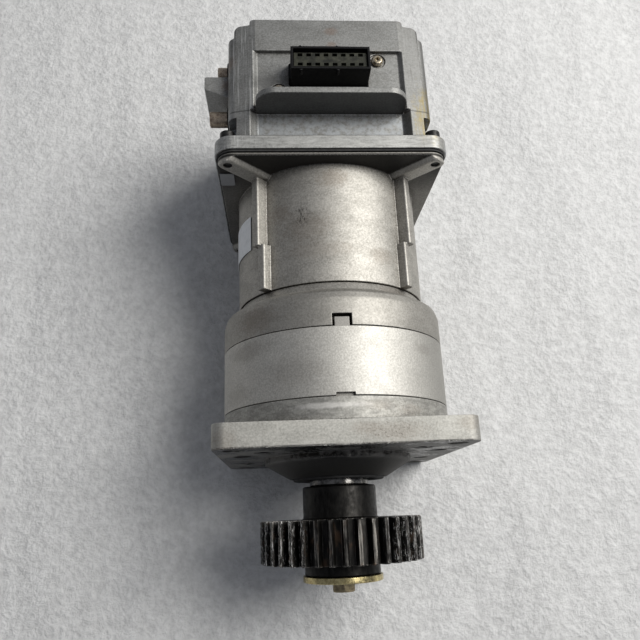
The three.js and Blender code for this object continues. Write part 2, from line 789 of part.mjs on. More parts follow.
const CAVITY_FLOOR = -46;
const SCREW_CLEAR_HALF = 38;
const NARROW_HALF = 35;
const CAVITY_WIDE = [160, 203.2];
const CAVITY_REAR = 211;

// The mouth is a cross, which leaves metal for the flange screws in the four corners
function housingCavity() {
  const mouth = HOUSING_FRONT - OVERSHOOT;
  const mouthRear = CAVITY_WIDE[0] + 2;
  return [
    box(-WALL_INNER, WALL_INNER, mouth, mouthRear, -SCREW_CLEAR_HALF, SCREW_CLEAR_HALF),
    box(-SCREW_CLEAR_HALF, SCREW_CLEAR_HALF, mouth, mouthRear, CAVITY_FLOOR, CAVITY_TOP),
    box(-WALL_INNER, WALL_INNER, ...CAVITY_WIDE, CAVITY_FLOOR, CAVITY_TOP),
    box(-NARROW_HALF, NARROW_HALF, CAVITY_WIDE[0], CAVITY_REAR, CAVITY_FLOOR, CAVITY_TOP),
  ];
}

// The wall that stands in front of the connector
function connectorLip() {
  const corner = 12;
  const rootZ = DECK_Z - 4;
  const shape = new THREE.Shape();
  shape.moveTo(-DECK_HALF, rootZ);
  shape.lineTo(DECK_HALF, rootZ);
  shape.lineTo(DECK_HALF, LIP_TOP - corner);
  shape.absarc(DECK_HALF - corner, LIP_TOP - corner, corner, 0, Math.PI / 2);
  shape.lineTo(-DECK_HALF + corner, LIP_TOP);
  shape.absarc(-DECK_HALF + corner, LIP_TOP - corner, corner, Math.PI / 2, Math.PI);
  return prismY(shape, LIP_FRONT, LIP_REAR);
}

const LUG_FRONT = 176.7;
const LUG_NOSE = 182;
const LUG_REAR = 189.5;
const LUG_Z = [22, 45];

function barrierLug() {
  const root = -WALL_INNER - 2;
  const outline = polygon([
    [root, LUG_FRONT - 0.9],
    [-BODY_HALF, LUG_FRONT],
    [-LUG_REACH, LUG_NOSE],
    [-LUG_REACH, LUG_REAR],
    [root, LUG_REAR],
  ]);
  return prismZ(outline, ...LUG_Z);
}

function connectorScrewPlaces() {
  return [
    [CONNECTOR_SCREW_X, CONNECTOR_Y + CONNECTOR_SCREW_Y],
    [-CONNECTOR_SCREW_X, CONNECTOR_Y - CONNECTOR_SCREW_Y],
  ];
}

function uprightRod(radius, z0, z1, x, y, sides = COARSE) {
  return turnedAlongZ([[0, z0], [radius, z0], [radius, z1], [0, z1]], x, y, sides);
}

function connectorOpening() {
  const halfX = CONNECTOR_LENGTH / 2 + GAP;
  const halfY = CONNECTOR_WIDTH / 2 + GAP;
  return box(-halfX, halfX, CONNECTOR_Y - halfY, CONNECTOR_Y + halfY, CAVITY_TOP - 2, PAD_Z + 2);
}

function electronicsHousing() {
  const above = PAD_Z + OVERSHOOT;
  const flange = prismY(roundedSquare(FLANGE_SIDE, HOUSING_CORNER_R), HOUSING_FRONT, HOUSING_FLANGE_REAR);
  const body = prismY(bodySection(), HOUSING_FRONT, HOUSING_REAR).intersect(bodyPlan());
  const frontFloor = box(-DECK_HALF, DECK_HALF, HOUSING_FLANGE_REAR, LIP_FRONT + 1, FRONT_FLOOR_Z, above);
  const deck = box(-DECK_HALF, DECK_HALF, LIP_FRONT, PAD_FRONT, DECK_Z, above);
  const shell = cut(body, frontFloor, deck);
  const cuts = [...housingCavity(), connectorOpening()];
  for (const { x, y, r } of CORNER_SCALLOPS) {
    cuts.push(uprightRod(r, SCALLOP_FLOOR_Z, above, x, y));
    cuts.push(uprightRod(r, SCALLOP_FLOOR_Z, above, -x, y));
  }
  const corners = fourCorners(FLANGE_SCREW_AT);
  cuts.push(...holesAt(corners, SCREW_RELIEF_R, HOUSING_FLANGE_REAR, SCREW_RELIEF_REAR));
  cuts.push(...holesAt(
    corners, M4_HOLE_R, HOUSING_FRONT - OVERSHOOT, HOUSING_FLANGE_REAR + OVERSHOOT, HOLE_SIDES,
  ));
  for (const [x, y] of connectorScrewPlaces()) {
    cuts.push(uprightRod(SCREW_RECESS_R, DECK_Z - SCREW_RECESS_DEPTH, DECK_Z + OVERSHOOT, x, y));
    cuts.push(uprightRod(THREAD_HOLE_R, CAVITY_TOP - OVERSHOOT, DECK_Z, x, y, HOLE_SIDES));
  }
  for (const { y } of [FRONT_STUD, REAR_STUD]) {
    const outside = -BODY_HALF - OVERSHOOT;
    const inside = -WALL_INNER + OVERSHOOT;
    const hole = [[0, outside], [STUD_HOLE_R, outside], [STUD_HOLE_R, inside], [0, inside]];
    cuts.push(turnedAlongX(hole, y, STUD_Z));
  }
  return cut(join(shell, flange, connectorLip(), barrierLug()), ...cuts);
}

const STUD_CHAMFER = 0.5;
const SLEEVE_INNER_END = -WALL_INNER + GAP;
const INSULATOR_R = 6.2;
const INSULATOR_END = -BODY_HALF - 1.3;

function powerStud({ y, end }) {
  const headOuter = SLEEVE_INNER_END + GAP;
  const headInner = headOuter + 2.8;
  const outline = [
    [0, end],
    [STUD_R - STUD_CHAMFER, end],
    [STUD_R, end + STUD_CHAMFER],
    [STUD_R, headOuter],
    [SLEEVE_R, headOuter],
    [SLEEVE_R, headInner],
    [0, headInner],
  ];
  return turnedAlongX(outline, y, STUD_Z);
}

function studInsulator(y) {
  const shoulder = -BODY_HALF - GAP;
  const outline = [
    [STUD_R + GAP, INSULATOR_END],
    [INSULATOR_R, INSULATOR_END],
    [INSULATOR_R, shoulder],
    [SLEEVE_R, shoulder],
    [SLEEVE_R, SLEEVE_INNER_END],
    [STUD_R + GAP, SLEEVE_INNER_END],
  ];
  return turnedAlongX(outline, y, STUD_Z);
}

function flangeScrew(x, z) {
  const seat = HOUSING_FLANGE_REAR + GAP;
  const rear = seat + M4_HEAD_HEIGHT;
  const head = rod(M4_HEAD_R, seat, rear, COARSE);
  const socket = rod(M4_SOCKET_R, rear - M4_HEAD_HEIGHT / 2, rear + OVERSHOOT, 6);
  const shank = rod(M4_R, GUSSET_FRONT + OVERSHOOT, seat + OVERSHOOT, HOLE_SIDES);
  return join(cut(head, socket), shank).translate([x, 0, z]);
}

// ---- Connector ----

const SHELL_FOOT = 43.9;
const FLANGE_TOP = CAVITY_TOP - GAP;
const EAR_THICKNESS = 2.6;
const EAR_MARGIN = 4;
const COLUMNS = 8;
const ROW_AT = 2.7;
const CONTACT_HALF = 0.45;
const CONTACT_Z = [44, 65.4];
const CARRIER_Z = [47, 52];
const INSERT_HALF = 3.9;
const INSERT_TOP = 66.8;
const POCKET_HALF_X = 1.15;
const POCKET_HALF_Y = 0.85;
const POCKET_FLOOR = 61;
const SCREW_THREAD_R = 1.5;
const SCREW_HEAD_R = 2.9;
const SCREW_HEAD_HEIGHT = 2.1;
const SCREW_END = 44.5;

function rectangle(halfX, halfY, z0, z1) {
  return box(-halfX, halfX, CONNECTOR_Y - halfY, CONNECTOR_Y + halfY, z0, z1);
}

function connectorShell() {
  const halfX = CONNECTOR_LENGTH / 2;
  const halfY = CONNECTOR_WIDTH / 2;
  const shroud = rectangle(halfX, halfY, SHELL_FOOT + 1, CONNECTOR_TOP);
  const earX = CONNECTOR_SCREW_X + EAR_MARGIN;
  const earY = CONNECTOR_SCREW_Y + EAR_MARGIN;
  const flange = rectangle(earX, earY, FLANGE_TOP - EAR_THICKNESS, FLANGE_TOP);
  const innerX = halfX - CONNECTOR_WALL;
  const innerY = halfY - CONNECTOR_WALL;
  const inside = rectangle(innerX, innerY, SHELL_FOOT, CONNECTOR_TOP + OVERSHOOT);
  const screwHoles = connectorScrewPlaces().map(([x, y]) => (
    uprightRod(THREAD_HOLE_R, SHELL_FOOT, CAVITY_TOP, x, y, HOLE_SIDES)
  ));
  return cut(join(shroud, flange), inside, ...screwHoles);
}

function connectorInsert() {
  const halfX = CONNECTOR_LENGTH / 2 - CONNECTOR_WALL - GAP;
  const halfY = CONNECTOR_WIDTH / 2 - CONNECTOR_WALL - GAP;
  const carrier = rectangle(halfX, halfY, ...CARRIER_Z);
  const block = rectangle(halfX, INSERT_HALF, CARRIER_Z[0], INSERT_TOP);
  const post = (x, y, halfAlong, halfAcross, z0, z1) => (
    box(x - halfAlong, x + halfAlong, y - halfAcross, y + halfAcross, z0, z1)
  );
  const pockets = [];
  const contacts = [];
  for (let column = 0; column < COLUMNS; column += 1) {
    const x = (column - (COLUMNS - 1) / 2) * CONTACT_PITCH;
    for (const side of [-1, 1]) {
      const y = CONNECTOR_Y + side * ROW_AT;
      pockets.push(post(x, y, POCKET_HALF_X, POCKET_HALF_Y, POCKET_FLOOR, INSERT_TOP + OVERSHOOT));
      contacts.push(post(x, y, CONTACT_HALF, CONTACT_HALF, ...CONTACT_Z));
    }
  }
  return join(cut(join(carrier, block), ...pockets), ...contacts);
}

function connectorScrew(x, y) {
  const seat = DECK_Z - SCREW_RECESS_DEPTH + GAP;
  const top = seat + SCREW_HEAD_HEIGHT;
  const chamfer = 0.7;
  const head = turnedAlongZ([
    [0, seat],
    [SCREW_HEAD_R, seat],
    [SCREW_HEAD_R, top - chamfer],
    [SCREW_HEAD_R - chamfer, top],
    [0, top],
  ], x, y);
  const socket = uprightRod(1.3, top - 1.2, top + OVERSHOOT, x, y, 6);
  return join(cut(head, socket), uprightRod(SCREW_THREAD_R, SCREW_END, seat + GAP, x, y, HOLE_SIDES));
}

// ---- Assembly ----

function outputPieces() {
  return [
    mesh('output_flange', outputFlange(), castAluminium),
    mesh('shaft_seal', shaftSeal(), blackRubber),
    mesh('output_bearing_front', outputBearing(OUTPUT_BEARINGS[0]), brightSteel),
    mesh('output_bearing_rear', outputBearing(OUTPUT_BEARINGS[1]), brightSteel),
    mesh('output_shaft', outputShaft(), brightSteel),
    mesh('pinion', pinion(), blackSteel),
    mesh('pinion_key', pinionKey(), brightSteel),
    mesh('pinion_washer', pinionWasher(), yellowZinc),
    mesh('pinion_bolt', pinionBolt(), yellowZinc),
  ];
}

function gearboxPieces() {
  const pieces = [mesh('ring_gear', ringGear(), turnedAluminium)];
  orbitPlaces().forEach(([x, z], index) => {
    const gear = mesh(`planet_${index + 1}`, planet(index), brightSteel);
    const pin = mesh(`planet_pin_${index + 1}`, planetPin(), brightSteel);
    gear.position.set(x, 0, z);
    pin.position.set(x, 0, z);
    pieces.push(gear, pin);
  });
  gearboxScrewPlaces().forEach(([x, z], index) => {
    const screw = mesh(`gearbox_screw_${index + 1}`, gearboxScrew(), screwSteel);
    screw.position.set(x, 0, z);
    pieces.push(screw);
  });
  return pieces;
}

function motorPieces() {
  return [
    mesh('motor_bell', motorBell(), motorCasting),
    mesh('motor_housing', motorHousing(), motorCasting),
    mesh('rotor_seal', tube(ROTOR_SEAT_R + GAP, ROTOR_SEAL_R, ...ROTOR_SEAL), blackRubber),
    mesh('rotor_bearing_front', rotorBearing(FRONT_BEARING), brightSteel),
    mesh('rotor_bearing_rear', rotorBearing(REAR_BEARING), brightSteel),
    mesh('rotor_shaft', rotorShaft(), brightSteel),
    mesh('rotor_core', tube(ROTOR_BODY_R + GAP, ROTOR_CORE_R, CORE_FRONT, CORE_REAR), coreSteel),
    mesh('rotor_magnets', tube(ROTOR_CORE_R + GAP, MAGNET_R, CORE_FRONT, CORE_REAR), magnetGrey),
    mesh('stator_core', statorCore(), coreSteel),
    mesh('stator_winding', statorWinding(), copper),
    mesh('rear_bearing_shield', rearBearingShield(), motorCasting),
    mesh('rating_label', ratingLabel(), labelWhite),
    mesh('encoder_magnet', tube(TAIL_R + GAP, ENCODER_MAGNET_R, TAIL_REAR - 5, TAIL_REAR, COARSE), magnetGrey),
  ];
}

const STICKER_X = [-55.4, -48.4];
const STICKER_Z = [28.2, 39.4];
const STICKER_THICKNESS = 0.3;
const BOARD_THICKNESS = 1.6;
const ENCODER_BOARD_Y = 148;
const ENCODER_BOARD_R = 20;
const CONTROL_BOARD_HALF = 42;
const CONTROL_BOARD_Y = [163, 199];
const CONTROL_BOARD_Z = 41;
const MODULE_HALF = 32;
const MODULE_Y = [164, 198];
const MODULE_Z = [CAVITY_FLOOR + GAP, -36];
const CAN_R = 9.5;
const CAN_SPACING = 24;
const CAN_TOP = -2;

function drivePieces() {
  const stickerRear = MOTOR_PLATE_FRONT - GAP;
  const sticker = box(...STICKER_X, stickerRear - STICKER_THICKNESS, stickerRear, ...STICKER_Z);
  const encoderBoard = rod(ENCODER_BOARD_R, ENCODER_BOARD_Y, ENCODER_BOARD_Y + BOARD_THICKNESS);
  const controlBoard = box(
    -CONTROL_BOARD_HALF, CONTROL_BOARD_HALF,
    ...CONTROL_BOARD_Y,
    CONTROL_BOARD_Z, CONTROL_BOARD_Z + BOARD_THICKNESS,
  );
  const powerModule = box(-MODULE_HALF, MODULE_HALF, ...MODULE_Y, ...MODULE_Z);
  const pieces = [
    mesh('edge_sticker', sticker, stickerGrey),
    mesh('housing_gasket', housingGasket(), blackRubber),
    mesh('electronics_housing', electronicsHousing(), housingCasting),
    mesh('encoder_board', encoderBoard, boardGreen),
    mesh('control_board', controlBoard, boardGreen),
    mesh('power_module', powerModule, blackPlastic),
    mesh('connector_shell', connectorShell(), blackPlastic),
    mesh('connector_insert', connectorInsert(), oliveInsert),
  ];
  for (let index = 0; index < 3; index += 1) {
    const x = CAN_SPACING * (index - 1);
    const can = uprightRod(CAN_R, MODULE_Z[1] + GAP, CAN_TOP, x, CONNECTOR_Y);
    pieces.push(mesh(`bus_capacitor_${index + 1}`, can, capacitorSleeve));
  }
  connectorScrewPlaces().forEach(([x, y], index) => {
    pieces.push(mesh(`connector_screw_${index + 1}`, connectorScrew(x, y), nickel));
  });
  fourCorners(FLANGE_SCREW_AT).forEach(([x, z], index) => {
    pieces.push(mesh(`flange_screw_${index + 1}`, flangeScrew(x, z), screwSteel));
  });
  [FRONT_STUD, REAR_STUD].forEach((stud, index) => {
    pieces.push(mesh(`power_stud_${index + 1}`, powerStud(stud), brass));
    pieces.push(mesh(`stud_insulator_${index + 1}`, studInsulator(stud.y), blackPlastic));
  });
  return pieces;
}

// The ground is under both square flanges, and the origin is at the middle of the base
const servoMotor = new THREE.Group();
servoMotor.name = 'steering_servo_motor';
servoMotor.add(...outputPieces(), ...gearboxPieces(), ...motorPieces(), ...drivePieces());
servoMotor.position.set(
  (LUG_REACH - FLANGE_HALF) / 2,
  -(BOLT_FRONT + HOUSING_REAR) / 2,
  FLANGE_HALF,
);

export default servoMotor;
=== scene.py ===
"""Looks of the steering servo motor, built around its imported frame.

Pieces are modelled in millimetres about the shaft axis, with y = 0 at the mounting face of the
output flange, and are then set into the frame, which is in metres.
"""

import json
import math

import bmesh
import bpy
from mathutils import Matrix, Vector, noise


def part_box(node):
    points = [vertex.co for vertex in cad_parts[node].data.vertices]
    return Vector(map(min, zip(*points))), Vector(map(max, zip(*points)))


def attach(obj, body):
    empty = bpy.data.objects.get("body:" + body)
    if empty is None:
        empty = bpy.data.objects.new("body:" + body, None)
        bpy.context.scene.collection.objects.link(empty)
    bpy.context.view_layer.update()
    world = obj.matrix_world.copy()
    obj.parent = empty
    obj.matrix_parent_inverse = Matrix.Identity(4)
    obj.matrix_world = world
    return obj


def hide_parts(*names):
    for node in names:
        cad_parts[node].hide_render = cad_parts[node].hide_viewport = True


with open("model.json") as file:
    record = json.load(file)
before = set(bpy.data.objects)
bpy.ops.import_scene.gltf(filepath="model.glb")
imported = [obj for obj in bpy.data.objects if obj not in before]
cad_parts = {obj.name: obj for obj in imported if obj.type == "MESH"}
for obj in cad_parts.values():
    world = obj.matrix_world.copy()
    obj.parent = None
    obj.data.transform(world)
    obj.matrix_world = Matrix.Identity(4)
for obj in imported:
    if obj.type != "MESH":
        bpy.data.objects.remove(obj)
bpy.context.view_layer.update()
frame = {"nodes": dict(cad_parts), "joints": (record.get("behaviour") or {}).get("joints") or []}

# ---- Frame ----

MM = 0.001
OUTPUT = "output"
HOUSING = "housing"
SHAFT = Vector(next(j["pos_m"] for j in frame["joints"] if j["name"] == "output_spin"))
TO_FRAME = Matrix.Translation(SHAFT) @ Matrix.Scale(MM, 4)


def local_box(node):
    """Lowest and highest corner of a CAD node, in millimetres about the shaft axis."""
    low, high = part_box(node)
    return (low - SHAFT) / MM, (high - SHAFT) / MM


flange_low, flange_high = local_box("output_flange")
ring_low, ring_high = local_box("ring_gear")
bell_low, bell_high = local_box("motor_bell")
motor_low, motor_high = local_box("motor_housing")
gasket_low, gasket_high = local_box("housing_gasket")
drive_low, drive_high = local_box("electronics_housing")
pinion_low, pinion_high = local_box("pinion")
washer_low, washer_high = local_box("pinion_washer")
bolt_low, bolt_high = local_box("pinion_bolt")
shell_low, shell_high = local_box("connector_shell")
seal_low, seal_high = local_box("shaft_seal")
shaft_low, shaft_high = local_box("output_shaft")

FLANGE_HALF = flange_high.x
FLANGE_THICKNESS = 11
RING_R = ring_high.x
TAB_FRONT = 51.8
BELL_NECK = 71
MOTOR_R = 48.1
MOTOR_BORE_R = 43.5
ROOT_R = MOTOR_BORE_R + 0.5
PLATE_FRONT = 137
GUSSET_FRONT = 134.4
PLATE_HALF = motor_high.x
PLATE_CORNER_R = 8
DRIVE_FRONT = drive_low.y
DRIVE_REAR = drive_high.y
DRIVE_FLANGE_REAR = DRIVE_FRONT + 7.1
LIP_FRONT = 161.3
LIP_REAR = 164.6
LIP_TOP = drive_high.z
PAD_FRONT = 196
PAD_Z = FLANGE_HALF
DECK_Z = 55
FLOOR_Z = 53
DECK_HALF = 36.5
BODY_HALF = 50.2
BODY_BOTTOM = -50
CAVITY_TOP = 48
CORNER_SCREW_AT = 50.5
CORNER_HOLE_R = 2.2
CONNECTOR_Y = (shell_low.y + shell_high.y) / 2
CONNECTOR_TOP = shell_high.z
CONNECTOR_HALF_X = 19.2
CONNECTOR_HALF_Y = 6.4
CONTACT_PITCH = 4.2
COLUMNS = 8
ROW_OFFSET = 2.7
PIN_HALF = 0.45
CONNECTOR_SCREWS = ((25, CONNECTOR_Y + 9), (-25, CONNECTOR_Y - 9))
STUD_Z = 37
MOUNT_HOLE_AT = 48
GEARBOX_SCREW_AT = 50 / math.sqrt(2)
GEARBOX_HOLE_R = 2.8
SIDES = 144
HOLE_SIDES = 32

# ---- Outlines ----


def corner_arc(before, corner, after, radius, steps):
    """Points of a round corner between two straight edges."""
    back = before - corner
    ahead = after - corner
    half = back.angle(ahead) / 2
    reach = min(radius / math.tan(half), 0.49 * back.length, 0.49 * ahead.length)
    back.normalize()
    ahead.normalize()
    centre = corner + (back + ahead).normalized() * reach / math.cos(half)
    start = corner + back * reach - centre
    end = corner + ahead * reach - centre
    turn = math.atan2(start.x * end.y - start.y * end.x, start.dot(end))
    return [centre + Matrix.Rotation(turn * k / steps, 2) @ start for k in range(steps + 1)]


def rounded(corners, steps=6):
    """Outline from corners of (u, v) or (u, v, radius). A corner with no radius stays sharp."""
    points = [Vector(c[:2]) for c in corners]
    outline = []
    for index, corner in enumerate(corners):
        before = points[index - 1]
        after = points[(index + 1) % len(points)]
        if len(corner) == 3 and corner[2] > 0:
            outline += corner_arc(before, points[index], after, corner[2], steps)
        else:
            outline.append(points[index])
    return [tuple(p) for p in outline]


def square(half, corner_r):
    signs = ((-1, -1), (1, -1), (1, 1), (-1, 1))
    return rounded([(a * half, b * half, corner_r) for a, b in signs], 10)


def rectangle(x0, x1, y0, y1):
    return [(x0, y0), (x1, y0), (x1, y1), (x0, y1)]


def circle(radius, sides=HOLE_SIDES, centre=(0, 0)):
    turn = 2 * math.pi / sides
    return [
        (centre[0] + radius * math.cos(turn * k), centre[1] + radius * math.sin(turn * k))
        for k in range(sides)
    ]


# ---- Solids ----

PLANES = {
    "xz": lambda u, v, w: (u, w, v),
    "xy": lambda u, v, w: (u, v, w),
    "yz": lambda u, v, w: (w, u, v),
}


def clean(mesh, weld, sliver):
    """Merges near vertices, drops slivers and points the faces outwards."""
    bm = bmesh.new()
    bm.from_mesh(mesh)
    bmesh.ops.remove_doubles(bm, verts=bm.verts, dist=weld)
    bmesh.ops.dissolve_degenerate(bm, edges=bm.edges, dist=sliver)
    bmesh.ops.recalc_face_normals(bm, faces=bm.faces)
    bm.to_mesh(mesh)
    bm.free()


def linked(name, data):
    obj = bpy.data.objects.new(name, data)
    bpy.context.scene.collection.objects.link(obj)
    return obj


def new_object(vertices, faces, name="solid"):
    mesh = bpy.data.meshes.new(name)
    mesh.from_pydata(vertices, [], faces)
    clean(mesh, 1e-4, 1e-5)
    return linked(name, mesh)


def stacked(rings, closed=False):
    """A skin through rings of points. An open stack gets a cap at each end."""
    count = len(rings[0])
    vertices = [point for ring in rings for point in ring]
    faces = []
    for level in range(len(rings) if closed else len(rings) - 1):
        low = level * count
        high = (level + 1) % len(rings) * count
        for k in range(count):
            after = (k + 1) % count
            faces.append((low + k, low + after, high + after, high + k))
    if not closed:
        faces.append(tuple(range(count)))
        faces.append(tuple(range((len(rings) - 1) * count, len(rings) * count)))
    return new_object(vertices, faces)


def prism(outline, low, high, plane="xz"):
    place = PLANES[plane]
    return stacked([[place(u, v, w) for u, v in outline] for w in (low, high)])


def turned(corners, steps=6, sides=SIDES):
    """A solid of revolution about the shaft axis, from corners of (radius, y) and a rounding."""
    outline = rounded(corners, steps)
    rings = []
    for k in range(sides):
        angle = 2 * math.pi * k / sides
        rings.append([(r * math.cos(angle), y, r * math.sin(angle)) for r, y in outline])
    return stacked(rings, closed=True)


def rod(radius, y0, y1, x=0, z=0, sides=HOLE_SIDES):
    return prism(circle(radius, sides, (x, z)), y0, y1)


def upright(radius, z0, z1, x, y, sides=HOLE_SIDES):
    return prism(circle(radius, sides, (x, y)), z0, z1, "xy")


def sideways(radius, x0, x1, y, z):
    return prism(circle(radius, centre=(y, z)), x0, x1, "yz")


def block(x0, x1, y0, y1, z0, z1):
    return prism(rectangle(x0, x1, z0, z1), y0, y1)


def apply_modifiers(obj):
    evaluated = obj.evaluated_get(bpy.context.evaluated_depsgraph_get())
    mesh = bpy.data.meshes.new_from_object(evaluated)
    obj.modifiers.clear()
    old = obj.data
    obj.data = mesh
    bpy.data.meshes.remove(old)


def combine(base, tools, operation):
    for tool in tools:
        step = base.modifiers.new("combine", "BOOLEAN")
        step.operation = operation
        step.solver = "EXACT"
        step.object = tool
        apply_modifiers(base)
        bpy.data.objects.remove(tool)
    return base


def join(base, *tools):
    return combine(base, tools, "UNION")


def cut(base, *tools):
    return combine(base, tools, "DIFFERENCE")


def corners(distance):
    """The (x, z) of four points at the same distance along both axes."""
    return [(a * distance, b * distance) for a, b in ((1, 1), (-1, 1), (-1, -1), (1, -1))]


def holes(radius, y0, y1, distance):
    """Four cutters along the shaft, one towards each corner."""
    return [rod(radius, y0, y1, x, z) for x, z in corners(distance)]


def soften(obj, width, segments=2):
    """Rounds the sharp edges, after tidying what the cuts left."""
    clean(obj.data, 0.02, 0.01)
    step = obj.modifiers.new("soften", "BEVEL")
    step.width = width
    step.segments = segments
    step.limit_method = "ANGLE"
    step.angle_limit = math.radians(34)
    step.use_clamp_overlap = False
    apply_modifiers(obj)
    return obj


def within(obj, low, high):
    """Keeps every vertex inside a box."""
    for vertex in obj.data.vertices:
        vertex.co = [min(h, max(l, c)) for l, c, h in zip(low, vertex.co, high)]


def keep(obj, body, slot, material, *nodes, sharp=40):
    """Sets a finished solid into the frame, in place of CAD nodes and within the first one's box."""
    obj.name = f"{nodes[0]}_fine"
    within(obj, *local_box(nodes[0]))
    obj.data.transform(TO_FRAME)
    obj.data.materials.clear()
    obj.data.materials.append(material)
    obj.data.shade_smooth()
    obj.data.set_sharp_from_angle(angle=math.radians(sharp))
    normals = obj.modifiers.new("normals", "WEIGHTED_NORMAL")
    normals.keep_sharp = True
    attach(obj, body)
    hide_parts(*nodes)
    return obj


# ---- Gears ----

PRESSURE_ANGLE = math.radians(20)
GEARBOX_MODULE = 1.4
SUN_TEETH, PLANET_TEETH, RING_TEETH = 12, 24, 60


def involute(angle):
    return math.tan(angle) - angle


def gear_outline(teeth, module, addendum, dedendum, slack, phase, steps=5):
    """Outline of a spur gear with a tooth centred on the angle phase. slack thins its teeth."""
    pitch_r = teeth * module / 2
    base_r = pitch_r * math.cos(PRESSURE_ANGLE)
    at_pitch = (math.pi * module / 2 - slack) / 2 / pitch_r
    root_r = pitch_r - dedendum
    flank = []
    for k in range(steps + 1):
        radius = root_r + (addendum + dedendum) * k / steps
        pressure = math.acos(min(1, base_r / radius))
        flank.append((radius, at_pitch + involute(PRESSURE_ANGLE) - involute(pressure)))
    points = []
    for tooth in range(teeth):
        middle = phase + 2 * math.pi * tooth / teeth
        sides = [(r, middle - half) for r, half in flank]
        sides += [(r, middle + half) for r, half in reversed(flank)]
        points += [(r * math.cos(a), r * math.sin(a)) for r, a in sides]
    return points


# ---- Materials ----


class Look:
    """A material's nodes, in millimetres about the shaft axis, its colour so far and its wet film."""

    def __init__(self, name):
        self.material = bpy.data.materials.new(name)
        self.material.use_nodes = True
        self.nodes = self.material.node_tree.nodes
        self.links = self.material.node_tree.links
        self.surface = self.nodes["Principled BSDF"]
        place = self.node("TexCoord").outputs["Object"]
        centred = self.vector("SUBTRACT", place, tuple(SHAFT))
        self.place = self.vector("SCALE", centred, scale=1 / MM)
        split = self.node("SeparateXYZ")
        self.links.new(self.place, split.inputs[0])
        self.x, self.y, self.z = split.outputs
        self.color = None
        self.wet = None

    def node(self, kind):
        return self.nodes.new("ShaderNode" + kind)

    def put(self, socket, value):
        if isinstance(value, bpy.types.NodeSocket):
            self.links.new(value, socket)
        else:
            socket.default_value = value

    def vector(self, operation, a, b=None, scale=None):
        node = self.node("VectorMath")
        node.operation = operation
        self.put(node.inputs[0], a)
        if b is not None:
            self.put(node.inputs[1], b)
        if scale is not None:
            node.inputs["Scale"].default_value = scale
        return node.outputs["Value" if operation == "LENGTH" else "Vector"]

    def math(self, operation, a, b=0.0):
        node = self.node("Math")
        node.operation = operation
        self.put(node.inputs[0], a)
        self.put(node.inputs[1], b)
        return node.outputs[0]

    def times(self, product, *others):
        for other in others:
            product = self.math("MULTIPLY", product, other)
        return product

    def noise(self, size, shift=0, stretch=(1, 1, 1), detail=4.0, rough=0.55):
        """Noise with features about size millimetres across, drawn out by stretch. shift moves it."""
        scaled = self.vector("DIVIDE", self.place, tuple(size * s for s in stretch))
        moved = self.vector("ADD", scaled, (shift, 1.7 * shift, 2.3 * shift))
        node = self.node("TexNoise")
        self.put(node.inputs["Vector"], moved)
        node.inputs["Scale"].default_value = 1
        node.inputs["Detail"].default_value = detail
        node.inputs["Roughness"].default_value = rough
        return node.outputs["Fac"]

    def span(self, value, low, high, out_low=0.0, out_high=1.0):
        """Eases from out_low to out_high as value goes from low to high."""
        node = self.node("MapRange")
        node.interpolation_type = "SMOOTHSTEP"
        self.put(node.inputs["Value"], value)
        limits = (low, high, out_low, out_high) if low < high else (high, low, out_high, out_low)
        for key, limit in zip(("From Min", "From Max", "To Min", "To Max"), limits):
            node.inputs[key].default_value = limit
        return node.outputs["Result"]

    def mix(self, a, b, share):
        node = self.node("Mix")
        node.data_type = "RGBA"
        self.put(node.inputs["Factor"], share)
        for socket, value in ((node.inputs[6], a), (node.inputs[7], b)):
            self.put(socket, value if isinstance(value, bpy.types.NodeSocket) else (*value, 1))
        return node.outputs[2]

    def base(self, dark, light, share):
        """Starts the colour, from dark to light."""
        self.color = self.mix(dark, light, share)

    def stain(self, paint, *shares):
        """Mixes paint into the colour by the product of shares."""
        self.color = self.mix(self.color, paint, self.times(*shares))

    def spot(self, centre, reach, ragged=2.0, size=4.0, shift=0.0):
        """1 inside a ragged, broken patch about centre, 0 outside it."""
        offset = self.vector("SUBTRACT", self.place, centre)
        distance = self.vector("LENGTH", self.vector("DIVIDE", offset, reach))
        torn = self.math("SUBTRACT", self.noise(size, shift, detail=8, rough=0.72), 0.5)
        return self.span(self.math("ADD", distance, self.times(torn, ragged)), 1.15, 0.35)

    def stains(self, paint, size, spots):
        """Mixes paint into the colour at every spot of (centre, reach, share, shift)."""
        for centre, reach, share, shift in spots:
            self.stain(paint, self.spot(centre, reach, size=size, shift=shift), share)

    def crevice(self, reach):
        """1 in open places, falling towards 0 in corners and joints."""
        node = self.node("AmbientOcclusion")
        node.samples = 6
        node.inputs["Distance"].default_value = reach * MM
        return node.outputs["AO"]

    def edge(self, radius):
        """1 along sharp edges, 0 on flat faces."""
        node = self.node("Bevel")
        node.samples = 4
        node.inputs["Radius"].default_value = radius * MM
        true_normal = self.node("NewGeometry").outputs["Normal"]
        apart = self.vector("SUBTRACT", node.outputs[0], true_normal)
        return self.span(self.vector("LENGTH", apart), 0.08, 0.45)

    def radius(self):
        """Distance from the shaft axis, in millimetres."""
        flat = self.node("CombineXYZ")
        self.links.new(self.x, flat.inputs[0])
        self.links.new(self.z, flat.inputs[2])
        return self.vector("LENGTH", flat.outputs[0])

    def bump(self, height, depth, before=None):
        """Adds relief. depth is in millimetres."""
        node = self.node("Bump")
        self.put(node.inputs["Height"], height)
        node.inputs["Distance"].default_value = depth * MM
        if before is not None:
            self.links.new(before, node.inputs["Normal"])
        return node.outputs[0]

    def finish(self, roughness, normal, metallic=0.0, gloss=0.5):
        for key, value in (
            ("Base Color", self.color), ("Roughness", roughness), ("Metallic", metallic), ("Normal", normal),
        ):
            self.put(self.surface.inputs[key], value)
        self.surface.inputs["Specular IOR Level"].default_value = gloss
        return self.material


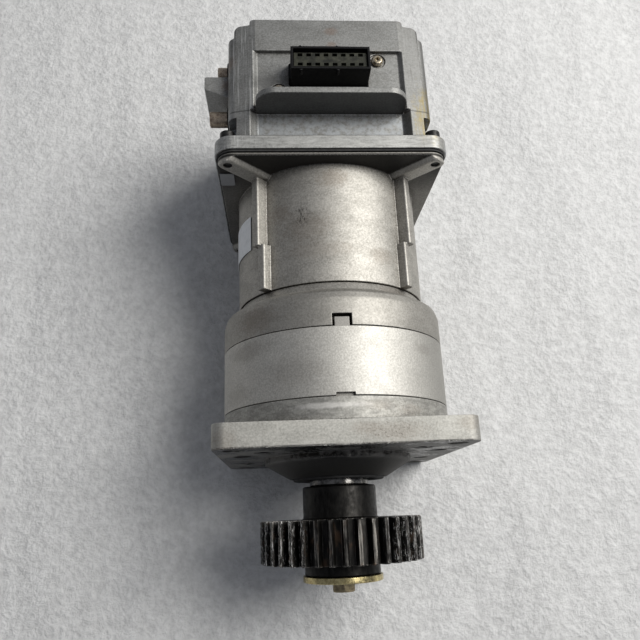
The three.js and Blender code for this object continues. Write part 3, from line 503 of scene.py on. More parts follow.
# Colour of grime and painted shade, laid into corners and joints found by ambient occlusion.
SHADE_AND_GRIME = (0.055, 0.045, 0.036)
BROWN = (0.19, 0.145, 0.105)
RUST = (0.23, 0.11, 0.05)
OXIDE = (0.30, 0.29, 0.275)


def cast_metal(name, light, dark, rough, marks, grain=0.8, grain_depth=0.035, soiling=0.07):
    """Cast aluminium: blasted grain, cloudy tone, a film of soil, specks, grime with painted shade in the
    corners, and edges lightened partly by wear and partly as painted highlights.
    """
    look = Look(name)
    clouds = look.span(look.noise(8, 0, (1.6, 0.8, 1.6), detail=7, rough=0.68), 0.32, 0.68)
    fine = look.noise(0.9, 5, rough=0.75)
    tone = look.math("ADD", look.times(clouds, 0.12), look.times(fine, 0.88))
    look.base(dark, light, look.span(tone, 0.25, 0.75))
    soil = look.span(look.noise(4, 13, (2, 0.8, 2), detail=9, rough=0.75), 0.48, 0.66)
    look.stain((0.24, 0.205, 0.17), soil, soiling)
    specks = look.span(look.noise(0.8, 9, detail=3), 0.66, 0.7)
    look.stain((0.12, 0.11, 0.10), specks, 0.5)
    marks(look)
    # Painted shade: corners and joints darkened from ambient occlusion, broken up by noise like grime.
    corner_shade_and_grime = look.math("ADD", look.crevice(6), look.times(look.math("SUBTRACT", fine, 0.5), 0.6))
    look.stain(SHADE_AND_GRIME, look.span(corner_shade_and_grime, 0.85, 0.25), 0.8)
    # Sharp edges lightened: partly rubbed wear, partly a painted highlight.
    edge_wear_and_highlight = look.times(look.edge(0.7), look.span(fine, 0.4, 0.6))
    look.stain((0.82, 0.81, 0.79), edge_wear_and_highlight, 0.22)
    uneven = look.noise(3, 3, detail=7, rough=0.7)
    roughness = look.span(uneven, 0.28, 0.72, rough - 0.02, rough + 0.02)
    grit = look.bump(look.noise(grain, 1, detail=3), grain_depth)
    normal = look.bump(look.noise(7, 2, detail=3), 0.03, grit)
    if look.wet:
        roughness = look.times(roughness, look.span(look.wet, 0, 1, 1.0, 0.3))
        lumps = look.times(look.noise(2.2, 15, detail=5, rough=0.65), look.wet)
        normal = look.bump(lumps, 1.1, normal)
    return look.finish(roughness, normal, metallic=0.92)


def flange_marks(look):
    """Painted shade with grease on the front face, painted glints on the grease, brown stains and scabs on
    the plate's edge, a worn collar, and a painted highlight across the collar's top.
    """
    front = look.span(look.y, 1.2, -0.2)
    plate = look.span(look.y, -4.2, -1.5)
    broad = look.noise(22, 23, rough=0.6)
    torn = look.noise(2.4, 21, (1.5, 1, 1), detail=8, rough=0.75)
    blots = look.span(look.math("ADD", look.times(broad, 0.65), look.times(torn, 0.35)), 0.44, 0.56)
    # Painted shade: the front face, which faces away from the key light, is darkened, most on the cone,
    # together with grease.
    face = look.mix((0.06, 0.058, 0.055), (0.22, 0.215, 0.205), plate)
    look.stain(face, front, 0.92)
    look.wet = look.times(front, plate, look.span(blots, 0, 1, 0.1, 1.0))
    look.stain((0.008, 0.0075, 0.007), look.wet, 0.95)
    # Painted highlights: white glints drawn on the wet grease.
    painted_glints = look.span(look.noise(1.3, 22, (1.6, 1, 1), rough=0.7), 0.63, 0.67)
    look.stain((0.8, 0.8, 0.78), look.wet, painted_glints, 0.75)
    look.stains(BROWN, 1.4, (
        ((20, 5, 57), (16, 5, 9), 0.24, 31),
        ((7, 7, 57), (7, 3, 6), 0.24, 32),
        ((52, 8, 57), (7, 5, 9), 0.24, 33),
        ((14, 17, 54), (9, 3, 9), 0.24, 34),
        ((29, 15, 48), (8, 3, 8), 0.24, 35),
        ((-52, 4, 57), (7, 6, 8), 0.24, 36),
    ))
    patches = look.math(
        "MAXIMUM",
        look.spot((27, 16, 51), (13, 4, 12), shift=38, size=3),
        look.spot((18, 6, 57), (12, 5, 6), shift=31, size=3),
    )
    scabs = look.span(look.noise(0.9, 39, (1.6, 1, 1), detail=6, rough=0.75), 0.56, 0.63)
    look.stain((0.09, 0.065, 0.05), patches, scabs, 0.8)
    collar = look.span(look.y, FLANGE_THICKNESS, FLANGE_THICKNESS + 1)
    worn = look.span(look.noise(3, 40, (2, 0.6, 2), detail=7, rough=0.7), 0.4, 0.6)
    look.stain((0.17, 0.165, 0.155), collar, worn, 0.45)
    # Painted highlight: a pale milky sheen across the top of the collar.
    pale = look.spot((-8, 17, 55), (22, 1.6, 9), shift=37, size=6)
    look.stain((0.84, 0.82, 0.79), pale, 0.5)


def motor_marks(look):
    """Painted shade with grime on the front of the rear plate, a darker bell, and smudges and scratches on
    top.
    """
    # Painted shade: the front of the rear plate faces away from the key light and is darkened nearly to
    # black, more towards the top, together with grime.
    plate = look.span(look.y, PLATE_FRONT - 0.8, PLATE_FRONT - 0.1)
    upper = look.span(look.z, 10, 46, 0.5, 0.93)
    front = look.span(look.y, motor_high.y, PLATE_FRONT + 0.5)
    look.stain((0.02, 0.019, 0.018), plate, upper, front)
    look.stain((0.24, 0.23, 0.21), look.span(look.y, BELL_NECK, BELL_NECK - 2, 0, 0.3))
    look.stains(BROWN, 2.4, (
        ((-14, 104, 46), (16, 9, 12), 0.3, 41),
        ((-26, 114, 42), (6, 6, 12), 0.3, 42),
        ((0, 129, 48), (9, 6, 8), 0.3375, 43),
        ((22, 90, 42), (8, 5, 9), 0.2625, 44),
        ((30, 72, 44), (14, 4, 12), 0.2625, 45),
        ((-38, 60, 40), (12, 8, 14), 0.3, 46),
        ((-10, 92, 47), (22, 5, 10), 0.225, 47),
    ))
    scratch = look.span(look.noise(1.6, 51, (0.6, 2.2, 0.6), detail=6, rough=0.85), 0.53, 0.57)
    patch = look.spot((-16, 111, 46), (5, 8, 10), ragged=1.2, shift=52, size=2)
    look.stain((0.07, 0.065, 0.06), scratch, patch, 0.85)


def housing_marks(look):
    """Draw marks on the shoulders, painted shade on the right shoulder, glue, rust spots, soil, a bright
    flange edge, painted shade at the lip's foot, and a painted shadow of the connector on the deck.
    """
    streak = look.noise(0.9, 61, (1, 40, 1), rough=0.75)
    aside = look.math("ABSOLUTE", look.x)
    shoulder = look.times(look.span(aside, 35, 38), look.span(look.z, 44, 50))
    pale = look.times(shoulder, look.span(streak, 0.54, 0.66))
    look.stain((0.66, 0.66, 0.64), pale, look.span(look.x, -35, 35, 0.75, 0.2))
    # Painted shade: the right shoulder is darkened.
    look.stain((0.16, 0.16, 0.155), shoulder, look.span(look.x, 30, 36), 0.45)
    look.stain((0.12, 0.115, 0.105), shoulder, look.span(streak, 0.42, 0.32), 0.6)
    floor = look.times(look.span(look.y, 163, 160), look.span(look.z, 54.5, 52.5))
    bluish = look.span(look.noise(3, 65), 0.35, 0.6)
    look.stain((0.46, 0.49, 0.52), floor, bluish, 0.6)
    glue = look.spot((48, 157, 52), (9, 22, 9), shift=71, size=3)
    lines = look.span(look.noise(1.1, 72, (1, 9, 1), detail=5), 0.3, 0.6)
    look.stain((0.26, 0.21, 0.09), glue, lines, 0.8)
    look.stains(RUST, 1.2, (
        ((-49, 190, 52), (4, 5, 5), 0.28, 73),
        ((-51, 184, 46), (4, 4, 5), 0.28, 74),
        ((2, 200, 57), (3, 2, 3), 0.28, 75),
        ((2, 208, 57), (4, 3, 3), 0.28, 76),
    ))
    soil = look.span(look.noise(2.5, 78, detail=7, rough=0.75), 0.5, 0.6)
    left = look.span(look.x, -10, -40, 0.05, 0.6)
    look.stain((0.07, 0.065, 0.06), look.span(look.y, 147, 145), soil, left)
    rear = DRIVE_FLANGE_REAR
    band = look.times(look.span(look.y, rear + 0.3, rear - 0.3), look.span(look.z, 40, 50))
    drawn = look.noise(1.2, 79, (6, 1, 1), detail=5, rough=0.7)
    look.stain((0.62, 0.62, 0.60), band, look.span(drawn, 0.35, 0.7, 0.15, 0.6))
    # Painted shade in the crease where the lip's front meets the floor.
    near = look.span(look.math("ABSOLUTE", look.math("SUBTRACT", look.y, LIP_FRONT)), 0.6, 0.1)
    lip = look.times(near, look.span(look.z, FLOOR_Z, FLOOR_Z + 1))
    look.stain((0.06, 0.06, 0.058), lip, 0.65)
    # Painted shadow: the connector's shadow on the deck to its left.
    connector_shadow = look.spot((-31, 178, 55), (9, 7, 6), shift=77)
    look.stain((0.12, 0.12, 0.117), connector_shadow, 0.6)


def ring_metal():
    """Satin turned aluminium: fine lines round the band, smudges, a darker tab, painted shade on the right
    side, and painted shade with grime in the corners.
    """
    look = Look("ring_satin")
    lines = look.noise(0.35, 81, (40, 1, 40), detail=3)
    clouds = look.span(look.noise(18, 82, detail=6), 0.3, 0.7)
    fine = look.span(look.noise(0.8, 89, rough=0.75), 0.3, 0.7)
    tone = look.math("ADD", look.times(clouds, 0.2), look.times(fine, 0.8))
    look.base((0.40, 0.388, 0.36), (0.66, 0.645, 0.605), tone)
    look.stains((0.20, 0.175, 0.15), 3.5, (
        ((-42, 46, 34), (16, 5, 16), 0.34, 83),
        ((-48, 27, 28), (12, 6, 14), 0.24, 90),
        ((38, 44, 40), (7, 3, 8), 0.22, 84),
        ((-22, 33, 51), (20, 7, 9), 0.18, 85),
    ))
    look.stain((0.26, 0.25, 0.235), look.span(look.y, TAB_FRONT, TAB_FRONT + 0.6, 0, 0.75))
    pits = look.span(look.noise(0.7, 86, detail=2), 0.7, 0.76)
    look.stain(OXIDE, pits, 0.4)
    # Painted shade: the right side is darkened, where the key light's highlight falls off.
    look.stain((0.24, 0.235, 0.22), look.span(look.x, 30, 50), 0.45)
    # Painted shade with grime in corners, from ambient occlusion.
    look.stain(SHADE_AND_GRIME, look.span(look.crevice(2), 0.7, 0.3), 0.7)
    roughness = look.span(look.noise(6, 87, detail=5), 0.25, 0.75, 0.59, 0.64)
    normal = look.bump(look.noise(0.7, 88, detail=3), 0.05, look.bump(lines, 0.006))
    return look.finish(roughness, normal, metallic=0.9)


def black_oxide():
    """Black oxide steel, worn on the tooth tips, with bright flecks on the outer teeth that are partly chips
    and partly painted highlights.
    """
    look = Look("pinion_black")
    radius = look.radius()
    fine = look.noise(1.6, 91, (1, 3, 1), detail=6, rough=0.7)
    look.base((0.008, 0.0077, 0.0072), (0.028, 0.0265, 0.0245), look.span(fine, 0.3, 0.7))
    toothed = look.span(radius, 30, 33)
    side = look.span(look.math("ABSOLUTE", look.x), 13, 24)
    tip = look.span(radius, pinion_high.x - 1.1, pinion_high.x - 0.25)
    runs = look.span(look.noise(0.7, 92, (1, 14, 1), detail=5, rough=0.7), 0.44, 0.62)
    worn = look.math("MAXIMUM", look.times(tip, 0.3), look.edge(0.4))
    look.stain((0.52, 0.49, 0.45), worn, runs, look.span(toothed, 0, 1, 0.1, 0.8))
    # Bright flecks on the tips of the outer teeth: partly chips, partly painted highlights.
    chips = look.span(look.noise(0.6, 96, (1, 7, 1), detail=5, rough=0.85), 0.57, 0.61)
    chips = look.times(chips, side, look.span(radius, 35.5, 37.5))
    # Painted highlights: bright strokes along the edges of the outer teeth.
    highlight_strokes = look.span(look.noise(1.1, 97, (1, 5, 1), detail=5, rough=0.75), 0.5, 0.56)
    highlight_strokes = look.times(look.edge(0.7), highlight_strokes, side, toothed)
    bright = look.math("MAXIMUM", chips, highlight_strokes)
    look.stain((0.95, 0.94, 0.92), bright)
    rust = look.span(look.noise(5, 93, (1, 2, 1), detail=5), 0.55, 0.7)
    look.stain((0.14, 0.085, 0.05), rust, toothed, 0.5)
    roughness = look.span(look.noise(2, 94), 0.3, 0.7, 0.32, 0.52)
    normal = look.bump(bright, 0.3, look.bump(look.noise(0.5, 95), 0.02))
    return look.finish(roughness, normal, metallic=look.span(bright, 0, 1, 0.85, 0.2))


def plated(name, light, dark, rough, size=2.5, metallic=0.95):
    """Plated or ground steel with handling marks, and painted shade with grime in the corners."""
    look = Look(name)
    clouds = look.noise(size, 101, detail=6, rough=0.65)
    look.base(dark, light, look.span(clouds, 0.3, 0.68))
    # Painted shade with grime in corners, from ambient occlusion.
    look.stain(SHADE_AND_GRIME, look.span(look.crevice(1.5), 0.75, 0.3), 0.7)
    roughness = look.span(look.noise(1.2, 102), 0.3, 0.7, rough - 0.06, rough + 0.1)
    normal = look.bump(look.noise(0.35, 103, detail=3), 0.01)
    return look.finish(roughness, normal, metallic=metallic)


def moulded(name, light, dark, rough, dust=0.15, gloss=0.5):
    """Moulded plastic or rubber with a fine texture, and dust that has settled on it."""
    look = Look(name)
    look.base(dark, light, look.span(look.noise(3, 111, detail=5), 0.3, 0.7))
    settled = look.span(look.noise(1.4, 112, detail=6, rough=0.75), 0.5, 0.8)
    look.stain((0.22, 0.21, 0.19), settled, dust)
    roughness = look.span(look.noise(1.8, 113, detail=3), 0.3, 0.7, rough - 0.06, rough + 0.08)
    normal = look.bump(look.noise(0.3, 114, detail=3), 0.02)
    return look.finish(roughness, normal, gloss=gloss)


def laminated(name, light, dark):
    """Stacked sheet steel, with its joints across the shaft."""
    look = Look(name)
    layers = look.noise(0.5, 121, (60, 1, 60), detail=1)
    look.base(dark, light, look.span(layers, 0.35, 0.65))
    roughness = look.span(look.noise(3, 122), 0.3, 0.7, 0.4, 0.55)
    return look.finish(roughness, look.bump(layers, 0.05), metallic=0.8)


def wound(name):
    """Enamelled copper wire laid side by side."""
    look = Look(name)
    strands = look.noise(0.8, 131, (1, 20, 1), detail=2)
    look.base((0.33, 0.10, 0.03), (0.72, 0.33, 0.13), look.span(strands, 0.35, 0.65))
    roughness = look.span(strands, 0.3, 0.7, 0.3, 0.42)
    return look.finish(roughness, look.bump(strands, 0.25), metallic=0.75)


def film(name, light, dark):
    """Printed film left blank, creased and slightly soiled."""
    look = Look(name)
    soil = look.span(look.noise(3.5, 141, detail=6, rough=0.7), 0.45, 0.75)
    look.base(light, dark, look.times(soil, 0.6))
    roughness = look.span(look.noise(2, 142), 0.3, 0.7, 0.4, 0.55)
    return look.finish(roughness, look.bump(look.noise(2.5, 143, detail=2), 0.04))


flange_metal = cast_metal(
    "flange_casting", (0.56, 0.55, 0.515), (0.33, 0.325, 0.30), 0.64, flange_marks, soiling=0.08)
motor_metal = cast_metal(
    "motor_casting", (0.56, 0.54, 0.50), (0.28, 0.27, 0.245), 0.58, motor_marks, grain_depth=0.025)
housing_metal = cast_metal(
    "housing_casting", (0.38, 0.38, 0.37), (0.20, 0.20, 0.19), 0.54, housing_marks, grain=1.1,
    grain_depth=0.05)
ring_satin = ring_metal()
pinion_black = black_oxide()
ground_steel = plated("ground_steel", (0.66, 0.66, 0.65), (0.42, 0.42, 0.41), 0.26)
oiled_steel = plated("oiled_steel", (0.30, 0.29, 0.28), (0.05, 0.048, 0.045), 0.2, size=4)
yellow_zinc = plated("yellow_zinc", (0.74, 0.64, 0.34), (0.34, 0.27, 0.13), 0.26, size=1.5)
bolt_zinc = plated("bolt_zinc", (0.45, 0.38, 0.24), (0.20, 0.16, 0.11), 0.36, size=1.5)
screw_black = plated("screw_black", (0.075, 0.073, 0.07), (0.03, 0.03, 0.03), 0.4)
nickel = plated("nickel", (0.74, 0.66, 0.52), (0.44, 0.36, 0.24), 0.26, size=1.2)
tarnished_brass = plated(
    "tarnished_brass", (0.62, 0.52, 0.40), (0.24, 0.18, 0.14), 0.3, size=2, metallic=0.8)
rubber = moulded("rubber", (0.03, 0.03, 0.03), (0.012, 0.012, 0.012), 0.75)
black_plastic = moulded(
    "black_plastic", (0.006, 0.006, 0.0065), (0.002, 0.002, 0.0025), 0.5, dust=0.03, gloss=0.2)
insert_plastic = moulded(
    "insert_plastic", (0.042, 0.043, 0.030), (0.010, 0.011, 0.008), 0.5, dust=0.2, gloss=0.3)
board_green = moulded("board_green", (0.03, 0.16, 0.09), (0.015, 0.09, 0.05), 0.4)
can_sleeve = moulded("can_sleeve", (0.03, 0.033, 0.045), (0.015, 0.017, 0.025), 0.35)
core_steel = laminated("core_steel", (0.42, 0.42, 0.43), (0.22, 0.22, 0.23))
magnet_grey = plated("magnet_grey", (0.24, 0.24, 0.25), (0.14, 0.14, 0.15), 0.42)
copper_wire = wound("copper_wire")
label_film = film("label_film", (0.93, 0.95, 0.96), (0.70, 0.72, 0.73))
sticker_film = film("sticker_film", (0.30, 0.305, 0.31), (0.16, 0.16, 0.16))

# ---- Output side ----


def output_flange():
    """Square mounting plate, with a boss in front for the seal and a collar behind for the ring."""
    cavity_r, bearing_r, seal_r = 30, 23.8, 22.5
    bearing_front, collar_front, fillet = -4.2, 4, 1.2
    plate = prism(square(FLANGE_HALF, 6), 0, FLANGE_THICKNESS)
    collar = turned([
        (cavity_r, collar_front), (RING_R + fillet, collar_front), (RING_R + fillet, FLANGE_THICKNESS),
        (RING_R, FLANGE_THICKNESS, fillet), (RING_R, flange_high.y, 0.3), (cavity_r, flange_high.y),
    ])
    boss = turned([
        (20, flange_low.y), (24, flange_low.y, 0.6), (36, -3, 1.2), (36, 2), (20, 2),
    ])
    body = join(plate, collar, boss)
    front, rear = -2, flange_high.y + 1
    tools = [
        rod(bearing_r, bearing_front, rear, sides=SIDES),
        rod(seal_r, flange_low.y - 1, bearing_front + 0.5, sides=SIDES),
    ]
    tools += holes(4.5, front, FLANGE_THICKNESS + 3, MOUNT_HOLE_AT)
    tools += [rod(4, front, 8, a * 46, b * 20) for a, b in corners(1)]
    tools += holes(4.55, front, 5.4, GEARBOX_SCREW_AT)
    tools += holes(GEARBOX_HOLE_R, front, rear, GEARBOX_SCREW_AT)
    keep(soften(cut(body, *tools), 0.45), HOUSING, "cast_flange", flange_metal, "output_flange")


def shaft_seal():
    inner_r, outer_r = 14.8, 22.2
    lip = turned([
        (inner_r, -9.4, 0.3), (17.5, seal_low.y + 1, 0.5), (19, seal_low.y, 0.4),
        (outer_r, seal_low.y, 0.5), (outer_r, seal_high.y, 0.4), (inner_r, seal_high.y, 0.4),
    ], 3)
    keep(lip, HOUSING, "rubber_black", rubber, "shaft_seal")


KEY_SLOT_HALF = 3.1


def output_shaft():
    nose_r, neck_r, journal_r, carrier_r = 11, 14.3, 14.7, 37
    nose_rear, neck_rear, carrier_front = -13.6, -4, 21.3
    body = turned([
        (0, shaft_low.y), (nose_r, shaft_low.y, 1), (nose_r, nose_rear),
        (neck_r, nose_rear, 0.3), (neck_r, neck_rear), (journal_r, neck_rear, 0.3),
        (journal_r, carrier_front), (carrier_r, carrier_front, 0.6), (carrier_r, shaft_high.y, 0.6),
        (0, shaft_high.y),
    ], 3)
    tools = [
        block(-KEY_SLOT_HALF, KEY_SLOT_HALF, -47.3, -19.7, 7.7, 14),
        rod(3.3, shaft_low.y - 1, shaft_low.y + 20),
    ]
    planet_at = (SUN_TEETH + PLANET_TEETH) * GEARBOX_MODULE / 2
    for k in range(3):
        angle = math.pi / 2 + 2 * math.pi * k / 3
        tools.append(rod(4.5, 20, 30, planet_at * math.cos(angle), planet_at * math.sin(angle)))
    keep(cut(body, *tools), OUTPUT, "bright_steel", oiled_steel, "output_shaft")


TEETH_FRONT = -48.2
TEETH_REAR = -29
PINION_TEETH = 38
PINION_MODULE = 2
PINION_SHIFT = 1.3
PINION_TURN = math.radians(2.5)
HUB_R = 17.9


def tooth_wear(x, z, y):
    """How much of a tooth's tip has been worn or chipped away, in millimetres."""
    side = min(1, max(0, (abs(x) - 12) / 18))
    place = Vector((x * 0.5, y * 0.55, z * 0.5))
    chip = max(0, noise.noise(place) - 0.25) * 2
    ripple = max(0, noise.noise(place * 2.3)) * 0.12
    return (chip + ripple) * side


def pinion():
    tip_r = pinion_high.x
    outline = gear_outline(
        PINION_TEETH, PINION_MODULE, PINION_MODULE - PINION_SHIFT,
        1.25 * PINION_MODULE + PINION_SHIFT,
        0.2 + 2 * PINION_SHIFT * math.tan(PRESSURE_ANGLE),
        math.pi / 2 + PINION_TURN,
    )
    stations, chamfer, worn_depth = 34, 0.5, 1.6
    length = TEETH_REAR - TEETH_FRONT - 2 * chamfer
    levels = [TEETH_FRONT]
    levels += [TEETH_FRONT + chamfer + length * k / stations for k in range(stations + 1)]
    levels.append(TEETH_REAR)
    rings = []
    for y in levels:
        end = chamfer if y in (TEETH_FRONT, TEETH_REAR) else 0
        ring = []
        for x, z in outline:
            radius = math.hypot(x, z)
            share = max(0, (radius - (tip_r - worn_depth)) / worn_depth)
            scale = 1 - (end + tooth_wear(x, z, y)) * share / radius
            ring.append((x * scale, y, z * scale))
        rings.append(ring)
    gear = stacked(rings)
    inner_r, step_r, step = 8, HUB_R + 2.2, TEETH_REAR - 2
    hub = turned([
        (inner_r, pinion_low.y), (HUB_R, pinion_low.y, 0.4), (HUB_R, -49), (HUB_R, step),
        (step_r, step), (step_r, TEETH_REAR), (HUB_R, TEETH_REAR, 1.8),
        (HUB_R, pinion_high.y, 1), (inner_r, pinion_high.y),
    ])
    front, rear = pinion_low.y - 1, pinion_high.y + 1
    tools = [
        rod(11.3, front, rear, sides=SIDES),
        block(-KEY_SLOT_HALF, KEY_SLOT_HALF, front, rear, 0, 13.5),
    ]
    keep(cut(join(gear, hub), *tools), OUTPUT, "black_steel", pinion_black, "pinion", sharp=35)


def pinion_fasteners():
    inner_r, outer_r, edge = 3.3, washer_high.x, 0.35
    washer = turned([
        (inner_r, washer_low.y, edge), (outer_r, washer_low.y, edge),
        (outer_r, washer_high.y, edge), (inner_r, washer_high.y, edge),
    ], 3)
    keep(washer, OUTPUT, "yellow_zinc", yellow_zinc, "pinion_washer")
    head_rear = washer_low.y - 0.3
    head = prism([(-z, x) for x, z in circle(5.74, 6)], bolt_low.y, head_rear)
    dome = turned([
        (0, bolt_low.y - 1), (5, bolt_low.y - 1), (5, bolt_low.y), (7, bolt_low.y + 1.2),
        (7, head_rear + 1), (0, head_rear + 1),
    ], 2, 48)
    head = combine(head, [dome], "INTERSECT")
    shank = rod(3, bolt_low.y + 2, bolt_high.y)
    keep(soften(join(head, shank), 0.15), OUTPUT, "yellow_zinc", bolt_zinc, "pinion_bolt")


# ---- Gearbox band and bell ----


def ring_gear():
    """Toothed band, with a locating tab at the rear and a shallow notch at the front."""
    inner_r = 38
    front, rear, band_rear = ring_low.y, ring_high.y, bell_low.y - 0.3
    band = turned([
        (inner_r, front), (RING_R, front, 0.35), (RING_R, band_rear, 0.35), (inner_r, band_rear),
    ], 3)
    tab = soften(block(-3.4, 3.4, band_rear - 2, rear, 50, 54.6), 0.4)
    space = gear_outline(
        RING_TEETH, GEARBOX_MODULE, 1.25 * GEARBOX_MODULE, 0.8 * GEARBOX_MODULE, -0.35, math.pi / 2)
    tools = [
        prism(space, front - 1, rear + 1),
        block(-4.2, 4.2, front - 1, front + 1.4, 53.6, 60),
    ]
    tools += holes(GEARBOX_HOLE_R, front - 1, band_rear + 1, GEARBOX_SCREW_AT)
    keep(cut(join(band, tab), *tools), HOUSING, "turned_ring", ring_satin, "ring_gear")


def motor_bell():
    """Cup that closes the motor's front, with a neck towards the cylinder and a notch on top."""
    front, rear, shoulder = bell_low.y, motor_low.y - 0.3, 65
    spigot_r, cavity_r, bearing_r, bore_r = 43.2, 41, 17.8, 12.3
    bearing_front, cavity_front = 57.4, 69.5
    bell = turned([
        (bore_r, front), (RING_R, front, 0.35), (RING_R, shoulder, 5), (54.6, 68.6, 2.5),
        (50.4, BELL_NECK), (49, BELL_NECK, 0.3), (47.2, rear, 0.3), (spigot_r, rear),
        (spigot_r, bell_high.y, 0.4), (cavity_r, bell_high.y), (cavity_r, cavity_front, 2),
        (bearing_r, cavity_front), (bearing_r, bearing_front), (bore_r, bearing_front),
    ])
    notch = rounded([(-4.4, 49.6), (4.4, 49.6), (4.4, 60), (-4.4, 60)])
    tools = [prism(notch, front - 1, front + 5.45)]
    tools += holes(GEARBOX_HOLE_R, front - 1, shoulder, GEARBOX_SCREW_AT)
    keep(soften(cut(bell, *tools), 0.25), HOUSING, "motor_casting", motor_metal, "motor_bell")


# ---- Motor ----

RIB_STEP = 98
RIB_WIDTH = 4.4


def to_corner(reach, side, quarter):
    """The (x, z) of a point that is out towards a corner by reach, and beside that line by side."""
    turn = math.radians(45 + 90 * quarter)
    return reach * math.cos(turn) - side * math.sin(turn), reach * math.sin(turn) + side * math.cos(turn)


def rib(top, shift, y0, y1, quarter):
    """A rib along the cylinder, shifted towards the vertical plane through the shaft."""
    middle = -shift if quarter % 2 else shift
    low, high = middle - RIB_WIDTH / 2, middle + RIB_WIDTH / 2
    outline = rounded([(ROOT_R, low), (top, low, 1.1), (top, high, 1.1), (ROOT_R, high)], 4)
    return prism([to_corner(u, v, quarter) for u, v in outline], y0, y1)


def gusset(quarter):
    """A bar with sloping sides from the cylinder out to the boss around a screw hole."""
    top, foot, edge, rear = 3.9, 6.6, 1.6, PLATE_FRONT + 1
    reach = CORNER_SCREW_AT * math.sqrt(2)
    section = rounded([(-foot, rear), (-top, GUSSET_FRONT, edge), (top, GUSSET_FRONT, edge), (foot, rear)], 4)
    rings = []
    for distance in (ROOT_R, reach):
        places = [to_corner(distance, side, quarter) for side, y in section]
        rings.append([(x, y, z) for (x, z), (side, y) in zip(places, section)])
    bar = stacked(rings)
    boss = turned([(0, GUSSET_FRONT), (top, GUSSET_FRONT, edge), (foot, rear), (0, rear)], 4, 48)
    x, z = to_corner(reach, 0, quarter)
    boss.data.transform(Matrix.Translation((x, 0, z)))
    limit = prism(square(PLATE_HALF, PLATE_CORNER_R), GUSSET_FRONT - 1, rear)
    return combine(join(bar, boss), [limit], "INTERSECT")


def motor_housing():
    """Cylinder with a stepped rib towards each corner, and a square plate with gussets at its rear."""
    front, rear, root_r = motor_low.y, motor_high.y, MOTOR_R + 1
    cylinder = turned([
        (MOTOR_BORE_R, front), (MOTOR_R, front, 0.4), (MOTOR_R, PLATE_FRONT, 0.9),
        (root_r, PLATE_FRONT), (root_r, rear), (MOTOR_BORE_R, rear),
    ])
    parts = [prism(square(PLATE_HALF, PLATE_CORNER_R), PLATE_FRONT, rear)]
    for quarter in range(4):
        parts.append(rib(52.6, 2, front, RIB_STEP + 0.6, quarter))
        parts.append(rib(54.4, 0, RIB_STEP, PLATE_FRONT + 1, quarter))
        parts.append(gusset(quarter))
    tools = [rod(MOTOR_BORE_R, front - 1, rear + 1, sides=SIDES)]
    tools += holes(CORNER_HOLE_R, GUSSET_FRONT - 4.4, rear + 1, CORNER_SCREW_AT)
    body = cut(join(cylinder, *parts), *tools)
    keep(soften(body, 0.35, 3), HOUSING, "motor_casting", motor_metal, "motor_housing")


def films():
    inner, outer = MOTOR_R + 0.3, MOTOR_R + 0.5
    start, wrap, steps = 147, 40, 28
    angles = [math.radians(start + wrap * k / steps) for k in range(steps + 1)]
    outline = [(outer * math.cos(a), outer * math.sin(a)) for a in angles]
    outline += [(inner * math.cos(a), inner * math.sin(a)) for a in reversed(angles)]
    low, high = local_box("rating_label")
    label = prism(outline, low.y, high.y)
    keep(label, HOUSING, "label_white", label_film, "rating_label")
    low, high = local_box("edge_sticker")
    outline = rounded([(x, z, 0.8) for x, z in rectangle(low.x, high.x, low.z, high.z)], 4)
    sticker = prism(outline, low.y, high.y)
    keep(sticker, HOUSING, "sticker_grey", sticker_film, "edge_sticker")


# ---- Electronics housing ----


def housing_gasket():
    front, rear = gasket_low.y, gasket_high.y
    sheet = prism(square(gasket_high.x, 9), front, rear)
    tools = [rod(ROOT_R, front - 1, rear + 1, sides=SIDES)]
    tools += holes(CORNER_HOLE_R, front - 1, rear + 1, CORNER_SCREW_AT)
    keep(cut(sheet, *tools), HOUSING, "rubber_black", rubber, "housing_gasket")


def body_section():
    """Outline across the shaft: round lower edges, and shoulders that slope up to the pad."""
    shoulder = 54.3
    return rounded([
        (-BODY_HALF, BODY_BOTTOM, 8), (BODY_HALF, BODY_BOTTOM, 8), (BODY_HALF, shoulder, 4.5),
        (DECK_HALF, PAD_Z, 3), (-DECK_HALF, PAD_Z, 3), (-BODY_HALF, shoulder, 4.5),
    ], 8)


def body_plan():
    """Outline from above, with two steps at each rear corner."""
    wide, middle, narrow = BODY_HALF + 1, 47.1, 39.2
    first, second = 205, 212
    right = [
        (wide, DRIVE_FRONT - 1), (wide, first, 5), (middle, first, 0.8), (middle, second, 4.4),
        (narrow, second, 0.8), (narrow, DRIVE_REAR, 4.5),
    ]
    left = [(-corner[0], *corner[1:]) for corner in reversed(right)]
    return rounded(right + left, 6)


def connector_lip():
    half, root, corner_r = DECK_HALF, 51, 12
    outline = rounded([
        (-half, root), (half, root), (half, LIP_TOP, corner_r), (-half, LIP_TOP, corner_r)], 14)
    return prism(outline, LIP_FRONT, LIP_REAR)


def barrier_lug():
    root, front, nose, rear = -48, 175.8, 182, 189.5
    outline = rounded([
        (root, front), (-BODY_HALF, front + 0.9), (drive_low.x, nose, 1), (drive_low.x, rear, 1),
        (root, rear),
    ], 4)
    return prism(outline, 22, 45, "xy")


def recess(y0, y1, floor):
    """A cutter for the sunken deck, with sloping sides."""
    foot, head, top = DECK_HALF - 0.8, DECK_HALF + 4.5, floor + 5
    return prism([(-foot, floor), (foot, floor), (head, top), (-head, top)], y0, y1)


